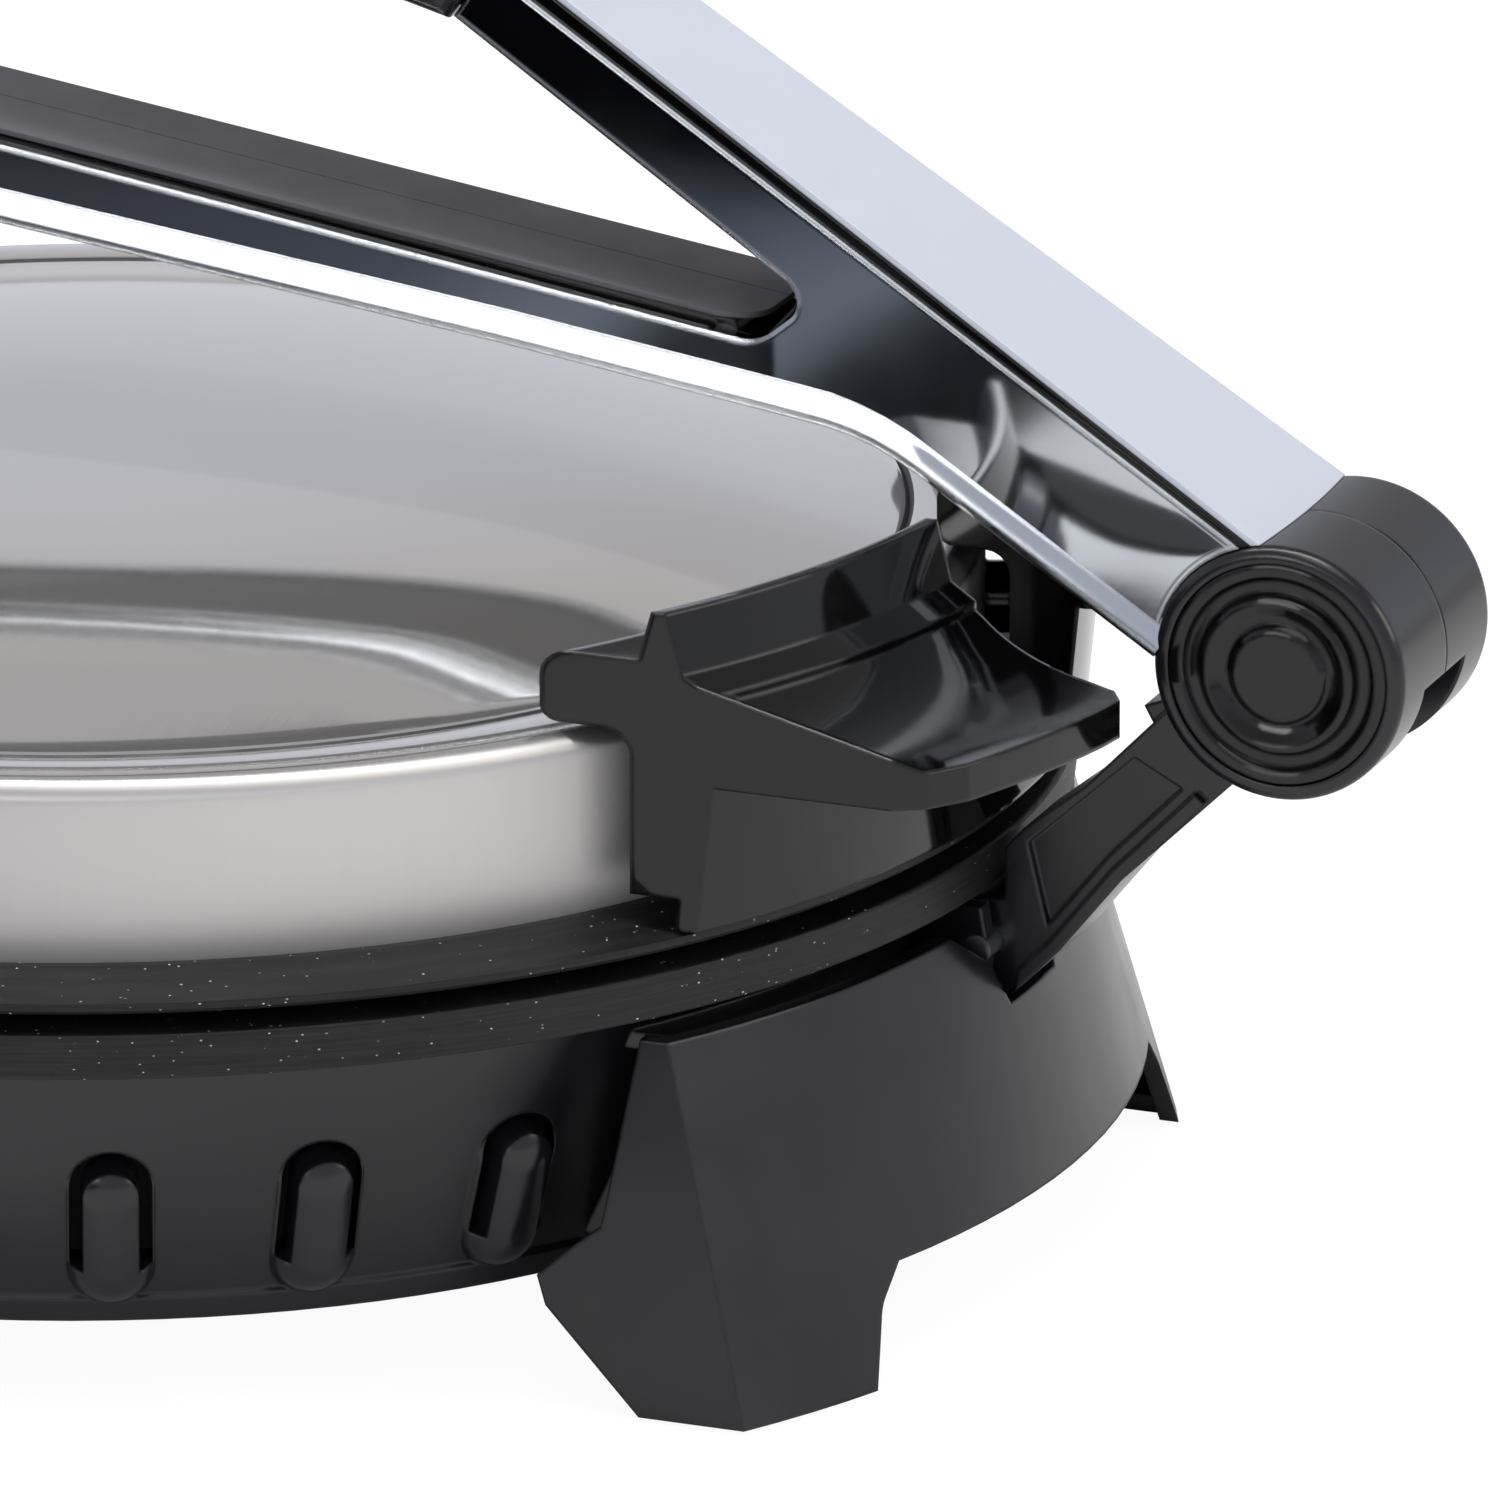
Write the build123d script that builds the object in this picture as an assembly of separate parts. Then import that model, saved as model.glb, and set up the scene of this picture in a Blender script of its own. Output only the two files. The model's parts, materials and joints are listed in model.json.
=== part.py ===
from build123d import *
import math
import os

# Electric roti maker, closed, at rest on a table. Millimetres, +Z up, front is -Y.
# The pieces are drawn round the upright axis of the two round cooking plates. write() then moves
# them so that the origin is the middle of the footprint, on the table plane.

# ---- cooking plates ----
PLATE_R = 134.0
PLATE_T = 6.2
PLATE_GAP = 2.8
LOWER_PLATE_Z = 54.8
UPPER_BODY_INSET = 16.5
UPPER_RIM_T = 1.6
UPPER_BODY_T = 5.4
EDGE_R = 0.6
BOSS_PCD_R = 95.0
BOSS_R = 5.0

# ---- housing bowl, its top edge under the plate ----
BOWL_INSET = 8.0
BOWL_FLARE = 15.0
BOWL_BOTTOM_Z = 13.4
BOWL_WALL = 2.4
BOWL_LIP_H = 3.4
BOWL_LIP_T = 0.5

# ---- louvres in the bowl wall ----
LOUVRE_COUNT = 8
LOUVRE_FIRST_DEG = 38.9
LOUVRE_STEP_DEG = 13.5
LOUVRE_R = 6.2
LOUVRE_SINK = 2.3
LOUVRE_Z0 = 16.8
LOUVRE_Z1 = 40.6
LOUVRE_RIM = 0.7
LOUVRE_SLOT_W = 1.8
LOUVRE_SLOT_L = 18.7

# ---- skirts and feet, their top edge just under the plate's rim ----
SKIRT_INSET = 0.3
SKIRT_BELOW_PLATE = 3.8
SKIRT_SLOPE = 0.29
SKIRT_WALL = 2.6
SKIRT_BOTTOM_Z = 15.4
SKIRT_FRONT_HALF = 71.9
SKIRT_REAR_HALF = 85.8
SKIRT_SIDE_LEAN = 0.1275
FOOT_Z = 0.5
FOOT_WIDTH = 18.4
FOOT_SOLE_T = 2.5
WEB_T = 2.4

# ---- notch and strut pin in the front skirt ----
NOTCH_DEPTH = 12.0
NOTCH_MID_DEPTH = 5.6
NOTCH_HALF_LOW = 8.3
NOTCH_HALF_MID = 11.0
NOTCH_HALF_TOP = 20.5
PIN_INSET = 1.0
PIN_BELOW_PLATE = 7.8
STRUT_PIN_R = 2.0
PIN_FIT = 0.04
SEAT_FIT = 0.01
STRUT_EYE_R = 6.4
STRUT_HALF = 6.5
STRUT_FLANGE_HALF = 7.6
STRUT_RECESS = 1.2
LUG_T = 3.0
LUG_GAP = 0.35

# ---- lever hub, ahead of the strut pin and above it ----
HUB_AHEAD = 44.8
HUB_ABOVE = 46.0
HUB_R = 17.6
HUB_HALF = 17.6
HUB_PARTING = 0.15
AXLE_R = 4.0
EYE_R = 12.0
HUB_BORE_GAP = 0.5
SLOT_FROM_DEG = -22.0
SLOT_TO_DEG = -166.0
NECK_TURN_DEG = 98.4
HUB_CAP_R = 15.4

# ---- lever ----
LEVER_DEG = 33.62
LEVER_HALF = 17.2
LEVER_TAPER = 0.0432
FORK_REACH = 72.8
SIDE_T = 2.6
BRANCH_UNDER = -1.25
BRANCH_LENGTH = 272.0
CHEEK_TOP_N = 11.2
CHEEK_TOP_FALL = 0.0335
COVER_EDGE_N = 13.2
COVER_EDGE_FALL = 0.0236
COVER_EDGE_T = 0.9
GRIP_START = 142.0
GRIP_UNDER = -9.0
GRIP_OVER = 11.6
GRIP_HALF = 14.5
RAIL_REACH = 239.8
RAIL_LOW_RISE = 19.14
RAIL_LOW_SLOPE = 0.1197
RAIL_TOP_RISE = 25.67
RAIL_TOP_SLOPE = 0.1430
RAIL_CAP_RISE = 28.42
RAIL_CAP_SLOPE = 0.1360
RAIL_CAP_T = 0.8
RAIL_CAP_HALF = 11.5
RAIL_SEAM_X = 0.9
RAIL_SEAM = 0.24
PAD_REACH = 213.8
PAD_R = 11.0
PAD_T = 4.0
PAD_CLEAR = 0.35

# ---- lid ----
LID_INSET = 12.5
LID_HEIGHT = 25.1
LID_SHEET = 0.8
LID_ROLL_R = 3.4
GROOVE_INSET = 10.3
DOME_RISE = 10.5
DOME_POWER = 3.3
DOME_EDGE_INSET = 1.2
DOME_EDGE_RISE = 0.1
HANDLE_HALF = 70.0
HANDLE_WALL = 2.6
WING_UNDER = 5.6
NOTCH_IN_HANDLE = 19.2
PANEL_MID_RISE = 5.2

# ---- lugs and screws that hold the handle and the bracket on the lid ----
FIX_ANGLE = 21.0
FIX_RISE = 11.2
FIX_BOSS_R = 5.0
FIX_LUG_DEPTH = 10.5
FIX_LUG_HALF = 6.0
FIX_LUG_RISE = 17.2

# ---- rear hinge, behind the plates ----
HINGE_BEHIND = 18.0
HINGE_Z = 34.0
HINGE_PIN_R = 2.5
HINGE_PIN_HALF = 58.0
ARM_IN = 38.5
ARM_OUT = 51.5
EAR_T = 4.0
EAR_GAP = 0.4
KNUCKLE_R = 8.0

# ---- heating parts ----
ELEMENT_R = 80.0
ELEMENT_TUBE_R = 3.4
ELEMENT_PIN_R = 2.2
ELEMENT_PIN_LEN = 14.0
RIB_HALF = 7.0
GROOVE_GAP = 0.1
REFLECTOR_MARGIN = 8.0
REFLECTOR_T = 1.0
SCREW_R = 2.0
SCREW_HEAD_R = 3.6
SCREW_HEAD_T = 2.4

# ---- underside ----
COVER_Z = 14.6
COVER_SHEET = 1.2
COVER_SCREW_R = 1.45
VENT_R = 3.0
VENT_PCD_R = 46.0
VENT_HALF = 10.0

# ---- cord inlet at the rear ----
INLET_Z = 28.0
INLET_R = 6.0
CORD_R = 3.4
BUSH_FLANGE = 2.5

# ---- places that follow from the sizes above ----
LOWER_TOP_Z = LOWER_PLATE_Z + PLATE_T
UPPER_PLATE_Z = LOWER_TOP_Z + PLATE_GAP
UPPER_RIM_Z = UPPER_PLATE_Z + UPPER_RIM_T
LID_FOOT_Z = UPPER_RIM_Z + 1.4
LID_R = PLATE_R - LID_INSET
LID_TOP_Z = LID_FOOT_Z + LID_HEIGHT
DOME_CENTRE_Z = LID_TOP_Z + DOME_RISE
GROOVE_R = LID_R - GROOVE_INSET
UPPER_BODY_R = PLATE_R - UPPER_BODY_INSET
BOWL_TOP_R = PLATE_R - BOWL_INSET
BOWL_BOTTOM_R = BOWL_TOP_R - BOWL_FLARE
SKIRT_TOP_R = PLATE_R - SKIRT_INSET
SKIRT_TOP_Z = LOWER_PLATE_Z - SKIRT_BELOW_PLATE
STRUT_PIN_Y = PIN_INSET - PLATE_R
STRUT_PIN_Z = LOWER_PLATE_Z - PIN_BELOW_PLATE
HUB_Y = STRUT_PIN_Y - HUB_AHEAD
HUB_Z = STRUT_PIN_Z + HUB_ABOVE
FORK_Y = HUB_Y + FORK_REACH
RAIL_END_Y = HUB_Y + RAIL_REACH
PAD_Y = HUB_Y + PAD_REACH
HINGE_Y = PLATE_R + HINGE_BEHIND
FIX_Z = LID_FOOT_Z + FIX_RISE
FIX_LUG_IN_R = LID_R - FIX_LUG_DEPTH
FIX_LUG_TOP_Z = LID_FOOT_Z + FIX_LUG_RISE
PANEL_MID_Z = LID_FOOT_Z + PANEL_MID_RISE
WING_UNDER_Z = LID_TOP_Z - WING_UNDER
REFLECTOR_R = ELEMENT_R + REFLECTOR_MARGIN
# the hub's front and the hinge knuckle's back are the ends of the footprint
FRAME_Y = -((HUB_Y - HUB_R) + (HINGE_Y + KNUCKLE_R)) / 2
FAR = 260.0

os.makedirs("parts", exist_ok=True)


def write(name, shape):
    move = Pos(0, FRAME_Y, 0)
    placed = group([move * piece for piece in shape.children]) if shape.children else move * shape
    placed.label = name
    export_step(placed, "parts/" + name + ".step")


def shifted(points, y, z):
    return [(y + dy, z + dz) for dy, dz in points]


def face(points):
    return make_face(Polyline(*points, close=True))


def rounded(points, radii):
    f = face(points)
    for p, r in radii:
        near = f.vertices().sort_by_distance(Vector(p[0], p[1], 0))[0]
        f = fillet([near], r)
    return f


def prism_yz(flat, x0, x1):
    return Pos(x0, 0, 0) * extrude(Plane.YZ * flat, amount=x1 - x0)


def prism_xz(flat, y0, y1):
    return Pos(0, y1, 0) * extrude(Plane.XZ * flat, amount=y1 - y0)


def prism_xy(flat, z0, z1):
    return Pos(0, 0, z0) * extrude(flat, amount=z1 - z0)


def lathe(points):
    return revolve(Plane.XZ * face(points), axis=Axis.Z)


STANDING = (Align.CENTER, Align.CENTER, Align.MIN)


def disc(r, z0, z1, x=0.0, y=0.0):
    return Pos(x, y, z0) * Cylinder(r, z1 - z0, align=STANDING)


def rod_x(r, x0, x1, y, z):
    return Pos(x0, y, z) * Rot(0, 90, 0) * Cylinder(r, x1 - x0, align=STANDING)


def rod_y(r, y0, y1, x, z):
    return Pos(x, y0, z) * Rot(-90, 0, 0) * Cylinder(r, y1 - y0, align=STANDING)


def block(x0, x1, y0, y1, z0, z1):
    return Pos((x0 + x1) / 2, (y0 + y1) / 2, (z0 + z1) / 2) * Box(x1 - x0, y1 - y0, z1 - z0)


def around(shape, degrees):
    return [Rot(0, 0, d) * shape for d in degrees]


def joined(shapes):
    total = shapes[0]
    for s in shapes[1:]:
        total = total + s
    return total


def group(shapes):
    return Compound(children=list(shapes))


def soften(shape, edges, radii):
    for r in radii:
        try:
            result = fillet(edges, r)
            if result.is_valid:
                return result
        except Exception:
            continue
    return shape


# ---- cooking plates ----
ELEMENT_Z = LOWER_PLATE_Z - 4.6
REFLECTOR_Z = ELEMENT_Z - ELEMENT_TUBE_R
BOSS_ANGLES = [45.0, 135.0, 225.0, 315.0]
CENTRE_ANGLES = [30.0, 150.0, 270.0]
CENTRE_PCD_R = 56.0
BOSS_LOW_Z = LOWER_PLATE_Z - 10.8

lower = disc(PLATE_R, LOWER_PLATE_Z, LOWER_TOP_Z)
lower = fillet(lower.edges(), EDGE_R)
rib = disc(ELEMENT_R + RIB_HALF, ELEMENT_Z, LOWER_PLATE_Z)
rib = rib - disc(ELEMENT_R - RIB_HALF, ELEMENT_Z, LOWER_PLATE_Z)
lower = lower + rib
lower = lower - Pos(0, 0, ELEMENT_Z) * Torus(ELEMENT_R, ELEMENT_TUBE_R + GROOVE_GAP)
boss = disc(BOSS_R, BOSS_LOW_Z, LOWER_PLATE_Z, BOSS_PCD_R, 0)
boss = boss - disc(SCREW_R, BOSS_LOW_Z, LOWER_PLATE_Z, BOSS_PCD_R, 0)
for b in around(boss, BOSS_ANGLES):
    lower = lower + b
stub = disc(BOSS_R, REFLECTOR_Z, LOWER_PLATE_Z, CENTRE_PCD_R, 0)
stub = stub - disc(SCREW_R, REFLECTOR_Z, LOWER_PLATE_Z, CENTRE_PCD_R, 0)
for b in around(stub, CENTRE_ANGLES):
    lower = lower + b

UPPER_BODY_Z = UPPER_PLATE_Z + UPPER_BODY_T
upper = lathe([
    (0, UPPER_PLATE_Z),
    (PLATE_R - EDGE_R, UPPER_PLATE_Z),
    (PLATE_R, UPPER_PLATE_Z + EDGE_R),
    (PLATE_R, UPPER_RIM_Z),
    (LID_R + 1.2, LID_FOOT_Z),
    (UPPER_BODY_R, LID_FOOT_Z),
    (UPPER_BODY_R, UPPER_BODY_Z),
    (0, UPPER_BODY_Z),
])
UP_ELEMENT_Z = UPPER_BODY_Z + 4.6
rib = disc(ELEMENT_R + RIB_HALF, UPPER_BODY_Z, UP_ELEMENT_Z)
rib = rib - disc(ELEMENT_R - RIB_HALF, UPPER_BODY_Z, UP_ELEMENT_Z)
upper = upper + rib
upper = upper - Pos(0, 0, UP_ELEMENT_Z) * Torus(ELEMENT_R, ELEMENT_TUBE_R + GROOVE_GAP)
UP_REFLECTOR_Z = UP_ELEMENT_Z + ELEMENT_TUBE_R
stub = disc(BOSS_R, UPPER_BODY_Z, UP_REFLECTOR_Z, CENTRE_PCD_R, 0)
stub = stub - disc(SCREW_R, UPPER_BODY_Z + 0.5, UP_REFLECTOR_Z, CENTRE_PCD_R, 0)
for b in around(stub, CENTRE_ANGLES):
    upper = upper + b

# ---- tubular heating elements, sunk half their depth in the plate ribs ----
ELEMENT_ARC_DEG = 334.0


def element(z, way):
    path = Plane.XY.offset(z) * CenterArc((0, 0), ELEMENT_R, 103.0, ELEMENT_ARC_DEG)
    ring = sweep(Plane(origin=path @ 0, z_dir=path % 0) * Circle(ELEMENT_TUBE_R), path=path)
    for end in (path @ 0, path @ 1):
        pin = Pos(end.X, end.Y, z) * Cylinder(ELEMENT_TUBE_R, 2 * ELEMENT_TUBE_R)
        low = z - ELEMENT_PIN_LEN if way < 0 else z
        leg = disc(ELEMENT_PIN_R, low, low + ELEMENT_PIN_LEN, end.X, end.Y)
        ring = ring + pin + leg
    return ring


def element_window(z0, z1):
    a = math.radians(103.0 - (360.0 - ELEMENT_ARC_DEG) / 2)
    x = ELEMENT_R * math.cos(a)
    y = ELEMENT_R * math.sin(a)
    return Pos(x, y, z0) * Rot(0, 0, math.degrees(a)) * Box(
        16.0, 2 * ELEMENT_R * math.sin(math.radians((360.0 - ELEMENT_ARC_DEG) / 2)) + 14.0, z1 - z0,
        align=(Align.CENTER, Align.CENTER, Align.MIN))


lower_gap = element_window(ELEMENT_Z - 20.0, LOWER_PLATE_Z)
lower = lower - lower_gap
write("lower_plate", lower)
upper = upper - element_window(UPPER_BODY_Z, UP_ELEMENT_Z + 20.0)

# lugs that take the screws holding the steel cover, the front handle and the rear bracket
FIX_DIRS = [-90.0 - FIX_ANGLE, -90.0 + FIX_ANGLE, 90.0 - FIX_ANGLE, 90.0 + FIX_ANGLE]


def radial_rod(r, r0, r1, z):
    return rod_x(r, r0, r1, 0.0, z)


LID_BORE_R = LID_R - LID_SHEET - 0.02
lug = block(FIX_LUG_IN_R, LID_R, -FIX_LUG_HALF, FIX_LUG_HALF, LID_FOOT_Z - 0.5, FIX_LUG_TOP_Z)
lug = lug & disc(LID_BORE_R, 0.0, FAR)
lug = lug - radial_rod(SCREW_R + 0.1, FIX_LUG_IN_R - 1.0, LID_R, FIX_Z)
for d in FIX_DIRS:
    upper = upper + Rot(0, 0, d) * lug
write("upper_plate", upper)
write("lower_element", element(ELEMENT_Z, -1))
write("upper_element", element(UP_ELEMENT_Z, 1))


def reflector(z0, z1):
    r = disc(REFLECTOR_R, z0, z1) - disc(16.0, z0, z1)
    hole = disc(SCREW_R + 0.2, z0, z1, CENTRE_PCD_R, 0)
    for h in around(hole, CENTRE_ANGLES):
        r = r - h
    return r - element_window(z0 - 1.0, z1 + 1.0)


write("lower_reflector", reflector(REFLECTOR_Z - REFLECTOR_T, REFLECTOR_Z))
write("upper_reflector", reflector(UP_REFLECTOR_Z, UP_REFLECTOR_Z + REFLECTOR_T))


def screw(x, y, head_z, length, up, shank_r=SCREW_R - 0.05):
    s = 1.0 if up else -1.0
    lo = min(head_z, head_z + s * length)
    head_lo = head_z - SCREW_HEAD_T if up else head_z
    shank = disc(shank_r, lo, lo + length, x, y)
    head = disc(SCREW_HEAD_R, head_lo, head_lo + SCREW_HEAD_T, x, y)
    drive_z = head_lo if up else head_lo + SCREW_HEAD_T - 1.0
    drive = block(x - 2.2, x + 2.2, y - 0.4, y + 0.4, drive_z, drive_z + 1.0)
    cross = block(x - 0.4, x + 0.4, y - 2.2, y + 2.2, drive_z, drive_z + 1.0)
    return shank + head - drive - cross


low_screw = screw(CENTRE_PCD_R, 0, REFLECTOR_Z - REFLECTOR_T, 8.0, True)
high_screw = screw(CENTRE_PCD_R, 0, UP_REFLECTOR_Z + REFLECTOR_T, 8.0, False)
write("lower_reflector_screws", group(around(low_screw, CENTRE_ANGLES)))
write("upper_reflector_screws", group(around(high_screw, CENTRE_ANGLES)))

# ---- thermostat, thermal fuses ----
therm = disc(11.0, LOWER_PLATE_Z - 8.0, LOWER_PLATE_Z) + disc(14.0, LOWER_PLATE_Z - 2.0, LOWER_PLATE_Z)
for x in (-5.0, 5.0):
    therm = therm + block(x - 0.4, x + 0.4, -3.0, 3.0, LOWER_PLATE_Z - 17.0, LOWER_PLATE_Z - 8.0)
write("thermostat", therm)
FUSE_R = 2.2
fuse = rod_x(FUSE_R, -7.0, 7.0, 34.0, LOWER_PLATE_Z - FUSE_R - 0.05)
fuse = fuse + rod_x(0.6, -16.0, 16.0, 34.0, LOWER_PLATE_Z - FUSE_R - 0.05)
write("thermal_fuse", fuse)
fuse_up = rod_x(FUSE_R, -7.0, 7.0, 34.0, UPPER_BODY_Z + FUSE_R + 0.05)
fuse_up = fuse_up + rod_x(0.6, -16.0, 16.0, 34.0, UPPER_BODY_Z + FUSE_R + 0.05)
write("lid_thermal_fuse", fuse_up)

# ---- housing: bowl, louvres, skirts with feet, screw posts, pin lugs, hinge ears ----
BOWL_SLOPE = (BOWL_TOP_R - BOWL_BOTTOM_R) / (LOWER_PLATE_Z - BOWL_BOTTOM_Z)


def bowl_r(z):
    return BOWL_BOTTOM_R + BOWL_SLOPE * (z - BOWL_BOTTOM_Z)


def skirt_r(z):
    return SKIRT_TOP_R + SKIRT_SLOPE * (SKIRT_TOP_Z - z)


bowl = lathe([
    (bowl_r(BOWL_BOTTOM_Z) - BOWL_WALL, BOWL_BOTTOM_Z),
    (BOWL_BOTTOM_R + BOWL_LIP_T, BOWL_BOTTOM_Z),
    (bowl_r(BOWL_BOTTOM_Z + BOWL_LIP_H) + BOWL_LIP_T, BOWL_BOTTOM_Z + BOWL_LIP_H),
    (bowl_r(BOWL_BOTTOM_Z + BOWL_LIP_H) + 0.01, BOWL_BOTTOM_Z + BOWL_LIP_H + 0.6),
    (BOWL_TOP_R, LOWER_PLATE_Z),
    (BOWL_TOP_R - BOWL_WALL, LOWER_PLATE_Z),
])
LEAN_DEG = math.degrees(math.atan(BOWL_SLOPE))


def at_wall(z, sink):
    return Pos(bowl_r(z) - sink, 0, z) * Rot(0, LEAN_DEG, 0)


LOUVRE_MID = (LOUVRE_Z0 + LOUVRE_Z1) / 2
LOUVRE_LEN = (LOUVRE_Z1 - LOUVRE_Z0) / math.cos(math.radians(LEAN_DEG)) - 2 * LOUVRE_R
bulge = Cylinder(LOUVRE_R, LOUVRE_LEN) + Pos(0, 0, LOUVRE_LEN / 2) * Sphere(LOUVRE_R)
bulge = bulge + Pos(0, 0, -LOUVRE_LEN / 2) * Sphere(LOUVRE_R)
bulge = at_wall(LOUVRE_MID, LOUVRE_SINK) * bulge
inner_cone = lathe([
    (0, BOWL_BOTTOM_Z - 20.0),
    (bowl_r(BOWL_BOTTOM_Z - 20.0) - BOWL_WALL, BOWL_BOTTOM_Z - 20.0),
    (bowl_r(LOWER_PLATE_Z + 10.0) - BOWL_WALL, LOWER_PLATE_Z + 10.0),
    (0, LOWER_PLATE_Z + 10.0),
])
bulge = bulge - inner_cone


def stadium(r, depth):
    # upright stadium, its lower end run straight down
    flat = Circle(r) + Pos(0, -LOUVRE_LEN) * Rectangle(2 * r, 2 * LOUVRE_LEN)
    upright = Plane(origin=(-depth / 2, 0, LOUVRE_LEN / 2), x_dir=(0, 1, 0), z_dir=(1, 0, 0))
    return extrude(upright * flat, amount=depth)


arch = stadium(LOUVRE_R - LOUVRE_RIM, 24.0) - stadium(LOUVRE_R - LOUVRE_RIM - LOUVRE_SLOT_W, 26.0)
arch = arch & Pos(0, 0, LOUVRE_R + LOUVRE_LEN / 2 - LOUVRE_SLOT_L / 2) * Box(30.0, 30.0, LOUVRE_SLOT_L)
slots = [at_wall(LOUVRE_MID, 0.0) * arch]
louvre_angles = [LOUVRE_FIRST_DEG + LOUVRE_STEP_DEG * i for i in range(LOUVRE_COUNT)]
louvre_dirs = [-90.0 - a for a in louvre_angles] + [-90.0 + a for a in louvre_angles]
for d in louvre_dirs:
    bowl = bowl + Rot(0, 0, d) * bulge
for d in louvre_dirs:
    for s in slots:
        bowl = bowl - Rot(0, 0, d) * s


def skirt_solid(drop):
    return lathe([
        (0, FOOT_Z),
        (skirt_r(FOOT_Z) - drop, FOOT_Z),
        (SKIRT_TOP_R - drop, SKIRT_TOP_Z),
        (0, SKIRT_TOP_Z),
    ])


skirt_outer = skirt_solid(0.0)
skirt_inner = skirt_solid(SKIRT_WALL)


def side_x(half, z):
    return half + half / SKIRT_FRONT_HALF * SKIRT_SIDE_LEAN * (SKIRT_TOP_Z - z)


def skirt(half):
    # built at the front (-Y), both ends closed by leaning side webs with a foot each
    low = side_x(half, FOOT_Z)
    top = side_x(half, SKIRT_TOP_Z)
    front = face([(-low, FOOT_Z), (low, FOOT_Z), (top, SKIRT_TOP_Z), (-top, SKIRT_TOP_Z)])
    region = prism_xz(front, -FAR, -40.0)
    shell = (skirt_outer - skirt_inner) & region
    foot_in = low - FOOT_WIDTH
    arch = rounded(
        [
            (-foot_in, -5.0), (-foot_in + 7.5, 10.8), (-foot_in + 12.5, SKIRT_BOTTOM_Z),
            (foot_in - 12.5, SKIRT_BOTTOM_Z), (foot_in - 7.5, 10.8), (foot_in, -5.0),
        ],
        [((-foot_in + 7.5, 10.8), 7.0), ((foot_in - 7.5, 10.8), 7.0)],
    )
    shell = shell - prism_xz(arch, -FAR, -40.0)
    shift = math.sqrt(SKIRT_TOP_R ** 2 - half ** 2)
    shift -= math.sqrt(SKIRT_TOP_R ** 2 - SKIRT_FRONT_HALF ** 2)
    reach = SKIRT_TOP_R + shift
    web_flat = face([
        (-reach - 10.0, SKIRT_TOP_Z), (24.9 - reach, SKIRT_TOP_Z), (29.3 - reach, 25.2),
        (32.8 - reach, 22.5), (38.0 - reach, 17.8), (36.6 - reach, 13.9),
        (22.7 - reach, FOOT_Z), (-reach - 40.0, FOOT_Z),
    ])
    for s in (-1.0, 1.0):
        slab = prism_xz(face([
            (s * low, FOOT_Z), (s * top, SKIRT_TOP_Z),
            (s * (top - WEB_T), SKIRT_TOP_Z), (s * (low - WEB_T), FOOT_Z),
        ]), -FAR, -40.0)
        x0 = min(s * (low + 2.0), s * (top - 12.0))
        web = prism_yz(web_flat, x0, x0 + low - top + 14.0)
        shell = shell + (web & slab & skirt_outer)
        xs = sorted([s * (low - WEB_T / 2), s * foot_in])
        sole = block(xs[0], xs[1], -FAR, 22.7 - reach, FOOT_Z, FOOT_Z + FOOT_SOLE_T)
        shell = shell + (sole & skirt_outer & region)
    return shell


front = skirt(SKIRT_FRONT_HALF)
rear = Rot(0, 0, 180) * skirt(SKIRT_REAR_HALF)

# webs that carry each skirt on the bowl, under the plate edge
WEB_Z0 = SKIRT_TOP_Z - 3.6
RIB_LOW_Z = 18.0


def carrier(half, sign):
    ring = lathe([
        (bowl_r(WEB_Z0) - 1.0, WEB_Z0), (skirt_r(WEB_Z0) - 1.0, WEB_Z0),
        (skirt_r(WEB_Z0 + WEB_T) - 1.0, WEB_Z0 + WEB_T), (bowl_r(WEB_Z0) - 1.0, WEB_Z0 + WEB_T),
    ])
    keep = joined([
        block(NOTCH_HALF_TOP + 2.0, half - 6.0, -FAR, -60.0, 0.0, SKIRT_TOP_Z),
        block(-half + 6.0, -NOTCH_HALF_TOP - 2.0, -FAR, -60.0, 0.0, SKIRT_TOP_Z),
    ])
    part = ring & keep
    for x in (NOTCH_HALF_TOP + 4.0, half - 14.0):
        for s in (-1.0, 1.0):
            x0 = s * x - WEB_T / 2
            rib_flat = face([
                (-60.0, RIB_LOW_Z), (-60.0, WEB_Z0 + 1.0), (-FAR, WEB_Z0 + 1.0), (-FAR, RIB_LOW_Z),
            ])
            rib_ring = lathe([
                (bowl_r(RIB_LOW_Z) - 1.0, RIB_LOW_Z), (skirt_r(RIB_LOW_Z) - 1.0, RIB_LOW_Z),
                (skirt_r(WEB_Z0) - 1.0, WEB_Z0), (bowl_r(WEB_Z0) - 1.0, WEB_Z0),
            ])
            part = part + (prism_yz(rib_flat, x0, x0 + WEB_T) & rib_ring)
    if sign > 0:
        part = Rot(0, 0, 180) * part
    return part


housing = bowl + front + rear + carrier(SKIRT_FRONT_HALF, -1) + carrier(SKIRT_REAR_HALF, 1)

NOTCH_Z = SKIRT_TOP_Z - NOTCH_DEPTH
NOTCH_MID_Z = SKIRT_TOP_Z - NOTCH_MID_DEPTH
notch = prism_xz(face([
    (-NOTCH_HALF_LOW, NOTCH_Z), (NOTCH_HALF_LOW, NOTCH_Z), (NOTCH_HALF_MID, NOTCH_MID_Z),
    (NOTCH_HALF_TOP, SKIRT_TOP_Z + 1.0), (-NOTCH_HALF_TOP, SKIRT_TOP_Z + 1.0),
    (-NOTCH_HALF_MID, NOTCH_MID_Z),
]), -FAR, -(BOWL_TOP_R + 2.0))
housing = housing - notch

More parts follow.
